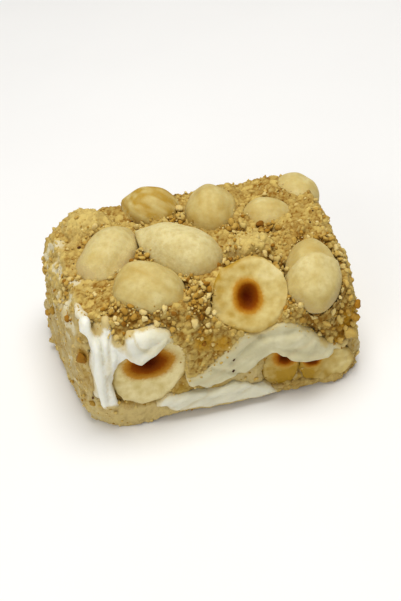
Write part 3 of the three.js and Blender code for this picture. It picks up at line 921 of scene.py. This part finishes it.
# Heaps of crumbs on the top: place, radius and height, and how far the bed sinks under them
HEAPS = [
    (-8.8, -1.6, 3.6, 1.4), (-12.6, -4.6, 2.6, 1.0), (-4.3, -8.3, 2.4, 0.9), (-2.4, -11.6, 2.8, 1.1),
    (-1.0, -14.6, 3.0, 1.2), (-1.2, -17.6, 2.6, 0.8), (6.4, -7.0, 2.6, 0.8), (11.6, -9.2, 2.6, 0.7),
    (15.4, -9.0, 2.4, 0.9), (-1.4, 9.4, 2.8, 1.2), (15.6, -16.6, 2.8, 0.9), (20.4, -19.0, 3.2, 0.8),
    (25.5, -18.0, 3.6, 0.8), (-9.8, -18.2, 3.2, 0.8), (-14.4, -17.0, 2.8, 0.8), (-17.6, -15.6, 2.6, 0.7),
    (-18.3, 6.4, 2.6, 0.6), (15.6, 0.8, 2.8, 0.8), (9.6, 3.0, 2.4, 0.8), (-25.0, -4.0, 2.4, 0.5),
    (27.6, -8.6, 1.8, 0.6), (25.8, -5.0, 2.0, 0.7), (21.6, -4.0, 2.0, 0.7), (28.2, -11.4, 1.6, 0.5),
]
HEAP_SPOTS = [heap[:3] for heap in HEAPS]
HEAP_SUNK = 0.5


def grains(points, size):
    """Height and tone of packed grains: each a rounded bump with a tone of its own."""
    height, tone = [], []
    for point in points / size:
        distances, centres = noise.voronoi(Vector(point))
        height.append(min(distances[1] - distances[0], GRAIN_TOP))
        tone.append(sum(part * step for part, step in zip(centres[0], GRAIN_HASH)) % 1)
    return np.array(height), np.array(tone)


def lifted_edge(verts):
    """The bottom's front edge stands clear of the floor, right of the left corner."""
    x, y, z = in_mm(verts)
    share = smoothstep(*EDGE_FRONT, y) * smoothstep(*EDGE_START, x) * (1 - smoothstep(*EDGE_TOP, z))
    lifted = verts.copy()
    lifted[:, 2] += EDGE_LIFT * share
    return lifted


def smooth_foot(points, normals):
    """The smooth foot of the front, up to where crumbs stick to it near the right end."""
    x, _, z = in_mm(points)
    low = smoothstep(*FACING, -normals[:, 1]) * (1 - smoothstep(*SMOOTH_TOP, z))
    return low * (1 - smoothstep(*SMOOTH_END, x))


def crumb_bed(node, voxel, rough, nuts_tree, others_tree):
    verts, faces = remeshed(node_arrays(node), voxel)
    verts = softened(verts, faces, BED_ROUNDS, BED_BACK)
    verts = lifted_edge(warped(verts, nuts_tree))
    normals = vertex_normals(verts, faces)
    height, tone = grains(verts, GRAIN_SIZE)
    fine, fine_tone = grains(verts, FINE_SIZE)
    rough = np.where(verts[:, 0] > RIGHT_START, max(rough, RIGHT_ROUGH), rough)
    relief = rough * (GRAIN_HEIGHT * height + FINE_HEIGHT * fine - GRAIN_LEVEL) + layered(verts, BED_WAVES)
    sunk = np.zeros(len(verts))
    if node == "crumb_top":
        sunk = HEAP_SUNK * spots(verts, HEAP_SPOTS)
    shut = BED_SHUT * nearness(others_tree, verts, SHUT_REACH)
    verts = verts + normals * (CLOSE_GAP + shut + MM * (relief - sunk))[:, None]
    verts[:, 2] = np.maximum(verts[:, 2], 0)
    # Painted shade: the pits between grains and the hollows under heaps take a darker tone
    low = PIT_SHADE_TONE * (1 - smoothstep(*PIT, height)) + HEAP_HOLLOW_SHADE_TONE * sunk
    tone = LEAST_TONE + GRAIN_TONE * tone + FINE_TONE * fine_tone - rough * low
    tone = tone + SMOOTH_TONE * smooth_foot(verts, normals) + MOUND_TONE * spots(verts, DUSTED_MOUNDS)
    return verts, faces, tone


def bare_share(verts, faces, white_tree):
    """Where the coat is thin: on the pressed sides in patches, on the mounds, and beside the white."""
    normals = vertex_normals(verts, faces)
    side = smoothstep(*FACING, np.abs(normals[:, 0]))
    patches = SIDE_BARE + PATCH_BARE * smoothstep(*PATCH_EDGE, layered(verts, PATCH_WAVES))
    broken = smoothstep(*BROKEN_EDGE, layered(verts, BROKEN_WAVES))
    return np.maximum.reduce([
        side * patches,
        SMOOTH_BARE * smooth_foot(verts, normals),
        MOUND_BARE * spots(verts, DUSTED_MOUNDS),
        DUSTY_BARE * spots(verts, DUSTY_SPOTS) * broken,
        CREAM_BARE * spots(verts, CREAM_SPOTS),
        WHITE_BARE * nearness(white_tree, verts, WHITE_REACH),
    ])


# Loose crumbs

CRUMB_SEED = 11

# Radii, and how far each crumb sinks in or stands out as shares of its radius
TOP_CRUMBS = {"radii": (0.32, 0.95), "lift": (-0.3, 0.4)}
SIDE_CRUMBS = {"radii": (0.26, 0.75), "lift": (-0.5, 0.2)}
EDGE_CRUMBS = {"radii": (0.24, 0.55), "lift": (-0.4, 0.2)}
HEAP_CRUMBS = {"radii": (0.36, 1.05), "lift": (-0.1, 0.4)}
MOSTLY_SMALL = 2.4
LARGE_CRUMB = 0.55 * MM
SPACING = 0.55
FLOOR_LIFT = 0.85

# Kinds: dark, middle and light colour, and how common each is
GOLDEN, STRAW, PALE, ROASTED, DARK = range(5)
CRUMB_KINDS = [
    ("crumbs_golden", (0.36, 0.19, 0.022), (0.50, 0.31, 0.06), (0.62, 0.44, 0.12)),
    ("crumbs_straw", (0.46, 0.31, 0.07), (0.60, 0.44, 0.14), (0.70, 0.55, 0.23)),
    ("crumbs_pale", (0.54, 0.40, 0.12), (0.66, 0.51, 0.19), (0.75, 0.61, 0.28)),
    ("crumbs_roasted", (0.22, 0.085, 0.005), (0.36, 0.17, 0.012), (0.50, 0.29, 0.045)),
    ("crumbs_dark", (0.02, 0.008, 0.003), (0.07, 0.025, 0.008), (0.16, 0.06, 0.015)),
]
KIND_SHARES = (0.36, 0.34, 0.17, 0.115, 0.015)
CRUMB_TONES = (0.1, 0.9)
DARK_SIZE = 0.6
LIGHT_BELOW = 20 * MM
LIGHT_SHARE = 0.6
TANNED_SHARE = 0.7

# Lumps and flecks that show by themselves: place, radius and kind
LUMPS = [
    (-24.5, -16.4, 18.6, 1.7, ROASTED), (-29.8, 7.1, 10.2, 1.2, ROASTED), (-25.6, -10.7, 23.0, 1.2, ROASTED),
    (-29.0, 10.4, 18.6, 1.4, GOLDEN), (-29.6, 3.0, 14.0, 1.1, GOLDEN), (-24.2, -17.0, 6.0, 0.9, GOLDEN),
    (24.0, -18.5, 19.8, 1.1, PALE), (26.8, -17.3, 13.7, 1.3, GOLDEN), (21.1, -19.0, 14.7, 1.0, PALE),
    (23.4, -18.7, 12.6, 1.1, STRAW), (28.8, -16.9, 15.6, 1.4, ROASTED), (29.7, -16.1, 4.6, 0.9, STRAW),
    (17.5, -18.9, 19.5, 1.1, GOLDEN), (25.4, -18.2, 16.6, 1.2, STRAW), (22.4, -18.8, 17.2, 1.1, GOLDEN),
    (-1.5, -15.3, 27.0, 1.2, GOLDEN), (-0.4, -16.6, 26.6, 1.1, PALE), (0.0, -17.9, 25.4, 1.1, PALE),
    (-3.1, -10.8, 26.8, 0.9, PALE), (-3.8, -8.5, 26.9, 0.8, PALE), (1.2, -13.2, 26.8, 1.0, PALE),
    (-9.1, -2.2, 28.1, 1.0, GOLDEN), (-10.4, -1.2, 28.0, 0.9, GOLDEN), (-8.8, -3.8, 27.0, 0.9, STRAW),
    (-14.5, -4.4, 26.8, 1.0, PALE), (-16.9, -5.8, 26.8, 0.9, PALE), (-15.6, -7.0, 26.6, 0.8, GOLDEN),
    (-9.5, 8.8, 26.8, 0.9, PALE), (-8.4, 9.9, 26.8, 0.8, STRAW),
    (-17.4, -19.4, 22.2, 0.8, GOLDEN), (-17.8, -18.8, 23.8, 0.9, STRAW), (-16.8, -19.5, 21.0, 0.6, GOLDEN),
    (-18.2, -18.4, 25.0, 0.8, GOLDEN), (-19.4, -19.9, 7.6, 0.6, GOLDEN), (-20.6, -20.4, 5.2, 0.7, STRAW),
    (27.6, -17.6, 12.2, 1.5, GOLDEN), (29.2, -16.8, 13.6, 1.3, GOLDEN), (25.4, -18.6, 11.6, 1.2, GOLDEN),
    (29.4, -16.4, 18.0, 1.3, ROASTED), (28.0, -17.2, 20.4, 1.1, GOLDEN),
    (0.0, 12.4, 27.0, 1.3, STRAW), (-0.7, 10.0, 27.0, 1.2, GOLDEN), (0.9, 8.3, 26.8, 0.8, PALE),
    (17.0, -11.6, 26.4, 1.0, PALE), (14.6, -7.1, 26.2, 1.1, PALE), (8.6, -9.4, 26.8, 1.0, STRAW),
    (-25.4, -11.4, 23.4, 0.5, DARK), (-29.8, 6.4, 9.0, 0.6, DARK), (-21.7, 5.5, 26.7, 0.6, DARK),
    (-24.3, -16.9, 7.4, 0.45, DARK), (3.8, -20.5, 13.4, 0.5, DARK), (3.4, -20.6, 10.9, 0.55, DARK),
]
LUMP_LIFT = 0.3

# A granule as shares of its radius: its core, the balls grown out of it, its flat breaks and its stretch
GRANULE_CORE = 0.52
GRANULE_LOBES = 6
LOBE_PLACES = (0.4, 0.65)
LOBE_SIZES = (0.3, 0.5)
GRANULE_BREAKS = 6
BREAK_PLACES = (0.58, 0.95)
BREAK_FACING = 0.2
GRANULE_ROUGH = 0.07
GRANULE_STRETCH = (0.65, 1.25)
GRANULE_FLAT = 0.2

# Tries for crumbs on each surface, and what shares of them stay
TOP_TRIES = 14000
TOP_SHARE = 0.45
CLUMP_WAVES = [(1, 2.6, 41)]
TOP_CLUMPS = (-0.35, 0.35)
MOUND_LESS = 0.2
HEAP_SHARE = 0.6
CRUMB_LEAST = 0.8
HEAP_GROWTH = 0.4
SIDE_TRIES = {"crumb_coat": 13000, "nut_filling": 5000}
SIDE_CLUMPS = (0.2, -0.35)
SIDE_SHARE = 0.16
SIDE_CLUMP_SHARE = 0.7
SMOOTH_LESS = 0.35
WHOLE_TRIES = 1800
WHOLE_REACH = 1.6 * MM
HALF_TRIES = 2500
HALF_REACH = 0.8 * MM
WHITE_TRIES = 16000
BELOW_TOP = 2.2 * MM
BELOW_TOP_SHARE = 0.7
BY_BED = 0.8 * MM
BY_BED_SHARE = 0.25
FADED_SHARE = 0.8

# Crumbs in heaps: how many are tried where the radius is one, and from where and to where they drop
HEAP_DENSITY = 14
HEAP_DROP = 60
HEAP_LOWEST = 17 * MM

# Crumbs are left out where something stands close before them, and on the underside
COVER_START = 0.4 * MM
COVER_REACH = 3 * MM
UNDERSIDE_WAY = -0.5
UNDERSIDE_TOP = 3 * MM


def surface_points(shape, count, rng):
    """Random points spread evenly over a surface, with the directions of its faces."""
    verts, tris = shape[0], triangles(shape[1])
    areas = face_areas(verts, tris)
    sizes = np.linalg.norm(areas, axis=1)
    chosen = rng.choice(len(tris), count, p=sizes / sizes.sum())
    u, v = np.sqrt(rng.random(count)), rng.random(count)
    shares = (1 - u, u * (1 - v), u * v)
    points = sum(corner * share[:, None] for corner, share in zip(corner_points(verts, tris[chosen]), shares))
    return points, unit(areas[chosen])


def is_open(tree, points, normals):
    """True where nothing stands close in front of a surface point."""
    return np.array([
        tree.ray_cast(Vector(point + COVER_START * normal), Vector(normal), COVER_REACH)[0] is None
        for point, normal in zip(points, normals)
    ])


def spaced(points, radii):
    """Keeps the largest first, and each clear of those kept before it."""
    cell = 2 * radii.max()
    steps = [(i, j, k) for i in (-1, 0, 1) for j in (-1, 0, 1) for k in (-1, 0, 1)]
    kept, grid = [], {}
    for index in np.argsort(-radii):
        point, radius = points[index], radii[index]
        home = tuple((point // cell).astype(int))
        around = [(home[0] + i, home[1] + j, home[2] + k) for i, j, k in steps]
        close = [other for key in around for other in grid.get(key, ())]
        gaps = np.linalg.norm(points[close] - point, axis=1) if close else np.array([])
        if (gaps > SPACING * (radius + radii[close])).all():
            kept.append(index)
            grid.setdefault(home, []).append(index)
    return np.array(kept)


def turned_at_random(shapes, rng):
    count = len(shapes)
    first = unit(rng.normal(size=(count, 3)))
    second = unit(np.cross(first, rng.normal(size=(count, 3))))
    third = np.cross(first, second)
    return shapes @ np.stack([first, second, third], axis=1)


def granules(points, normals, radii, level, rng):
    """Broken bits of nut: each a core with balls grown out of it and flat breaks, turned at random."""
    verts, tris = ball_shape(level)
    count = len(points)
    swell = np.full((count, len(verts)), GRANULE_CORE)
    for _ in range(GRANULE_LOBES):
        lobe = unit(rng.normal(size=(count, 3))) * rng.uniform(*LOBE_PLACES, (count, 1))
        size = rng.uniform(*LOBE_SIZES, (count, 1))
        toward = lobe @ verts.T
        inside = size ** 2 - (lobe ** 2).sum(axis=1, keepdims=True) + toward ** 2
        reach = toward + np.sqrt(np.maximum(inside, 0))
        swell = np.where((inside > 0) & (toward > 0), np.maximum(swell, reach), swell)
    for _ in range(GRANULE_BREAKS):
        facing = unit(rng.normal(size=(count, 3))) @ verts.T
        swell = np.minimum(swell, rng.uniform(*BREAK_PLACES, (count, 1)) / np.maximum(facing, BREAK_FACING))
    swell = swell * (1 + rng.uniform(-GRANULE_ROUGH, GRANULE_ROUGH, swell.shape))
    shapes = verts[None] * swell[..., None] * rng.uniform(*GRANULE_STRETCH, (count, 1, 3))
    shapes = turned_at_random(shapes, rng)
    out = normals[:, None]
    shapes = shapes - GRANULE_FLAT * (shapes * out).sum(axis=2, keepdims=True) * out
    shapes = shapes * radii[:, None, None] + points[:, None]
    faces = tris[None] + (np.arange(count) * len(verts))[:, None, None]
    return shapes.reshape(-1, 3), faces.reshape(-1, 3)


def crumb_row(points, normals, look, rng):
    """Places, directions, radii and lifts of crumbs, most of them small."""
    low, high = look["radii"]
    radii = MM * (low + (high - low) * rng.random(len(points)) ** MOSTLY_SMALL)
    return points, normals, radii, rng.uniform(*look["lift"], len(points))


def thinned_row(points, normals, share, look, rng):
    """Crumbs at a share of the points."""
    kept = rng.random(len(points)) < share
    return crumb_row(points[kept], normals[kept], look, rng)


def crumbs_on_top(bed, rng):
    """Crumbs in clumps, more of them and larger ones in the heaps, and fewer on the mounds."""
    points, normals = surface_points(bed, TOP_TRIES, rng)
    clumps = smoothstep(*TOP_CLUMPS, layered(points, CLUMP_WAVES))
    share = TOP_SHARE * clumps * (1 - MOUND_LESS * spots(points, DUSTED_MOUNDS))
    share = np.maximum(share, HEAP_SHARE * spots(points, HEAP_SPOTS))
    points, normals, radii, lifts = thinned_row(points, normals, share, TOP_CRUMBS, rng)
    heaped = HEAP_SHARE * spots(points, HEAP_SPOTS)
    return points, normals, radii * (CRUMB_LEAST + HEAP_GROWTH * heaped), lifts


def crumbs_on_side(bed, count, rng):
    """Crumbs in clumps between the bare patches, and fewer on the smooth foot."""
    points, normals = surface_points(bed, count, rng)
    clumps = smoothstep(*SIDE_CLUMPS, layered(points, PATCH_WAVES[:1]))
    share = (SIDE_SHARE + SIDE_CLUMP_SHARE * clumps) * (1 - SMOOTH_LESS * smooth_foot(points, normals))
    return thinned_row(points, normals, share, SIDE_CRUMBS, rng)


def crumbs_beside(shape, tree, reach, count, rng):
    """Crumbs on a surface close to another one, fewer the further from it."""
    points, normals = surface_points(shape, count, rng)
    return thinned_row(points, normals, nearness(tree, points, reach), EDGE_CRUMBS, rng)


def crumbs_on_white(whites, top_tree, bed_tree, rng):
    """Crumbs on the nougat: below the top's edge, where it fades, and a few beside the other beds."""
    points, normals = surface_points(whites, WHITE_TRIES, rng)
    share = np.maximum.reduce([
        BELOW_TOP_SHARE * nearness(top_tree, points, BELOW_TOP) ** 2,
        BY_BED_SHARE * nearness(bed_tree, points, BY_BED),
        FADED_SHARE * spots(points, FADED_SPOTS),
    ])
    return thinned_row(points, normals, share, EDGE_CRUMBS, rng)


def crumbs_in_heaps(beds_tree, cover_tree, rng):
    """Crumbs piled on each other: they fill low domes over the open places of the beds."""
    points, normals = [], []
    for x, y, radius, height in HEAPS:
        for _ in range(int(HEAP_DENSITY * radius ** 2)):
            away, turn = np.sqrt(rng.random()), 2 * np.pi * rng.random()
            reach = radius * away
            place = np.array([x + reach * np.cos(turn), y + reach * np.sin(turn), HEAP_DROP]) * MM
            hit, normal, _, _ = beds_tree.ray_cast(Vector(place), -UP)
            if hit is None or hit.z < HEAP_LOWEST or cover_tree.ray_cast(hit, UP)[0]:
                continue
            rise = height * MM * (1 - away ** 2) * rng.random()
            points.append(np.array(hit) + np.array([0, 0, rise]))
            normals.append(np.array(normal))
    return crumb_row(np.array(points), np.array(normals), HEAP_CRUMBS, rng)


def scatter(beds, wholes, halves, whites, everything, rng):
    """All crumbs on the beds and on what lies beside them, where nothing covers them."""
    top_tree = tree_of(beds["crumb_top"])
    bed_tree = tree_of(joined(in_triangles(beds.values())))
    rows = [crumbs_on_top(beds["crumb_top"], rng)]
    rows += [crumbs_on_side(beds[node], tries, rng) for node, tries in SIDE_TRIES.items()]
    rows.append(crumbs_beside(joined(wholes), top_tree, WHOLE_REACH, WHOLE_TRIES, rng))
    rows.append(crumbs_beside(joined(halves), bed_tree, HALF_REACH, HALF_TRIES, rng))
    rows.append(crumbs_on_white(joined(whites), top_tree, bed_tree, rng))
    points, normals, radii, lifts = (np.concatenate(column) for column in zip(*rows))
    shown = is_open(everything, points, normals)
    shown &= ~((normals[:, 2] < UNDERSIDE_WAY) & (points[:, 2] < UNDERSIDE_TOP))
    lying = (points[shown], normals[shown], radii[shown], lifts[shown])
    heaped = crumbs_in_heaps(bed_tree, tree_of(joined(wholes + halves + whites)), rng)
    return tuple(np.concatenate(pair) for pair in zip(lying, heaped))


def lumps(everything):
    found = [everything.find_nearest(Vector(lump[:3]) * MM) for lump in LUMPS]
    places, normals = (np.array([hit[part][:] for hit in found]) for part in (0, 1))
    radii = np.array([radius for *_, radius, _ in LUMPS]) * MM
    return places, normals, radii, np.full(len(LUMPS), LUMP_LIFT)


def add_crumbs(name, material, points, normals, radii, lifts, rng):
    """Adds all crumbs of one kind as one piece, the larger ones with finer faces."""
    places = points + normals * (lifts * radii)[:, None]
    places[:, 2] = np.maximum(places[:, 2], FLOOR_LIFT * radii)
    large = radii > LARGE_CRUMB
    shapes, tones = [], []
    for chosen, level in ((large, 2), (~large, 1)):
        count = chosen.sum()
        if not count:
            continue
        shape = granules(places[chosen], normals[chosen], radii[chosen], level, rng)
        shapes.append(shape)
        tones.append(np.repeat(rng.uniform(*CRUMB_TONES, count), len(shape[0]) // count))
    shape = joined(shapes)
    shape[0][:, 2] = np.maximum(shape[0][:, 2], 0)
    add_piece(name, shape, material, "nut_crumb", tone=np.concatenate(tones))


def add_all_crumbs(beds, wholes, halves, whites):
    rng = np.random.default_rng(CRUMB_SEED)
    everything = tree_of(joined(wholes + halves + whites + in_triangles(beds.values())))
    scattered = scatter(beds, wholes, halves, whites, everything, rng)
    kinds = rng.choice(len(CRUMB_KINDS), len(scattered[0]), p=KIND_SHARES)
    lightened = (scattered[0][:, 2] < LIGHT_BELOW) & (rng.random(len(kinds)) < LIGHT_SHARE)
    kinds[lightened & (kinds == ROASTED)] = STRAW
    tanned = rng.random(len(kinds)) < TANNED_SHARE * spots(scattered[0], BROWNED_SPOTS)
    kinds[tanned & (kinds != DARK)] = ROASTED
    scattered[2][kinds == DARK] *= DARK_SIZE
    rows = [np.concatenate(pair) for pair in zip(scattered, lumps(everything))]
    kinds = np.concatenate([kinds, [kind for *_, kind in LUMPS]])
    kept = spaced(rows[0], rows[2])
    for kind, (name, *colours) in enumerate(CRUMB_KINDS):
        chosen = kept[kinds[kept] == kind]
        add_crumbs(name, crumb_material(name, *colours), *(row[chosen] for row in rows), rng)


# Stage

# Place, size, power and colour of each light, with places and sizes here in metres
LIGHTS = {
    "key": ((0.04, 0.02, 0.50), 0.34, 2.1, (1.0, 0.98, 0.94)),
    "fill": ((-0.34, -0.36, 0.26), 0.40, 0.85, (1.0, 0.99, 0.97)),
}
SKY_COLOUR = (1.0, 0.99, 0.97, 1)
SKY_STRENGTH = 0.34
FLOOR_HALF = 2


def add_area(name, place, size, power, colour):
    light = bpy.data.lights.new(name, "AREA")
    light.shape = "DISK"
    light.size = size
    light.energy = power
    light.color = colour
    lamp = add_object(name, light)
    lamp.location = place
    lamp.rotation_euler = (CAMERA_TARGET - Vector(place)).to_track_quat("-Z", "Y").to_euler()


def add_stage():
    corners = np.array([(-1, -1, 0), (1, -1, 0), (1, 1, 0), (-1, 1, 0)], float)
    floor = add_object("floor", build_mesh("floor", FLOOR_HALF * corners, np.array([[0, 1, 2, 3]])))
    floor.data.materials.append(floor_material())
    for name, light in LIGHTS.items():
        add_area(name, *light)
    world = bpy.data.worlds.new("studio")
    world.use_nodes = True
    sky = world.node_tree.nodes["Background"].inputs
    sky["Color"].default_value = SKY_COLOUR
    sky["Strength"].default_value = SKY_STRENGTH
    bpy.context.scene.world = world
    bpy.context.scene.view_settings.view_transform = "Standard"


def add_camera():
    camera = add_object("camera", bpy.data.cameras.new("camera"))
    camera.data.sensor_fit = "HORIZONTAL"
    camera.data.sensor_width = SENSOR_WIDTH
    camera.data.lens = CAMERA_LENS
    camera.data.clip_start = CAMERA_NEAREST
    look = (CAMERA_TARGET - CAMERA_PLACE).to_track_quat("-Z", "Y").to_matrix()
    camera.matrix_world = (look @ Matrix.Rotation(CAMERA_ROLL, 3, "Z")).to_4x4()
    camera.location = CAMERA_PLACE
    bpy.context.scene.camera = camera


# Pieces

def add_whole_kernels(crumb_tree):
    hazelnut = kernel_material()
    wholes = []
    for n, look in enumerate(WHOLE_KERNELS, 1):
        node, seed = f"hazelnut_{n}", SEED_STEP * n
        verts, faces, tone, past_seam_shaded = kernel(node, look, seed)
        wholes.append((verts, faces))
        # Painted shadow: past the seam the kernel is dulled with the dust colour
        dust = np.maximum(kernel_dust(verts, crumb_tree, look["dust"], seed), SEAM_SHADOW_DUST * past_seam_shaded)
        add_piece(f"kernel_{n}", (verts, faces), hazelnut, "hazelnut", [node], tone=tone, dust=dust)
    return wholes


def add_halved_kernels():
    hazelnut_cut = cut_material()
    halves = []
    for n, look in enumerate(CUT_KERNELS, 1):
        node = f"cut_hazelnut_{n}"
        verts, faces, roast, gold = cut_kernel(node, look, CUT_SEED + SEED_STEP * n)
        half = (verts, faces)
        halves.append(half)
        add_piece(f"kernel_half_{n}", half, hazelnut_cut, "hazelnut_cut", [node], roast=roast, gold=gold)
    return halves


def add_nougat(nuts_tree, crumb_tree):
    white = nougat_material()
    whites = []
    solids_tree = nodes_tree(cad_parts)
    hanging = [soft_rim(rows, solids_tree) for rows in NOUGAT_RIMS] + [shoulder_strand(solids_tree)]
    for name, node, rims in (("nougat_lower", "white_lower", []), ("nougat_upper", "white_upper", hanging)):
        verts, faces, stain, fibre = nougat(node, rims, nuts_tree, crumb_tree)
        whites.append((verts, faces))
        ivory = ivory_share(verts)
        add_piece(name, (verts, faces), white, "white_nougat", [node], stain=stain, fibre=fibre, ivory=ivory)
    return in_triangles(whites)


def add_beds(nuts_tree):
    top = bed_material("top_bed", (0.24, 0.11, 0.010), (0.64, 0.48, 0.14), (0.62, 0.48, 0.17))
    sides = bed_material("side_bed", (0.34, 0.20, 0.04), (0.58, 0.43, 0.14), (0.62, 0.54, 0.31))
    filling = bed_material("filling_bed", (0.26, 0.13, 0.01), (0.48, 0.32, 0.06), (0.62, 0.51, 0.23))
    white_tree = nodes_tree(("white_upper", "white_lower"))
    beds = {}
    for name, node, voxel, material, slot, rough in (
        ("crumb_bed_sides", "crumb_coat", SIDE_VOXEL, sides, "nut_crumb", SIDE_ROUGH),
        ("crumb_bed_top", "crumb_top", TOP_VOXEL, top, "nut_crumb", TOP_ROUGH),
        ("filling_bed", "nut_filling", FILLING_VOXEL, filling, "nut_filling", FILLING_ROUGH),
    ):
        others_tree = nodes_tree(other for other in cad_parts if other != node)
        verts, faces, tone = crumb_bed(node, voxel, rough, nuts_tree, others_tree)
        beds[node] = (verts, faces)
        bare = bare_share(verts, faces, white_tree)
        brown = BROWNED * spots(verts, BROWNED_SPOTS)
        add_piece(name, beds[node], material, slot, [node], tone=tone, bare=bare, browned=brown)
    return beds


def main():
    crumb_tree = nodes_tree(("crumb_top", "crumb_coat"))
    wholes = add_whole_kernels(crumb_tree)
    halves = add_halved_kernels()
    nuts_tree = tree_of(joined(wholes + halves))
    whites = add_nougat(nuts_tree, crumb_tree)
    beds = add_beds(nuts_tree)
    add_all_crumbs(beds, wholes, halves, whites)
    add_stage()
    add_camera()


main()
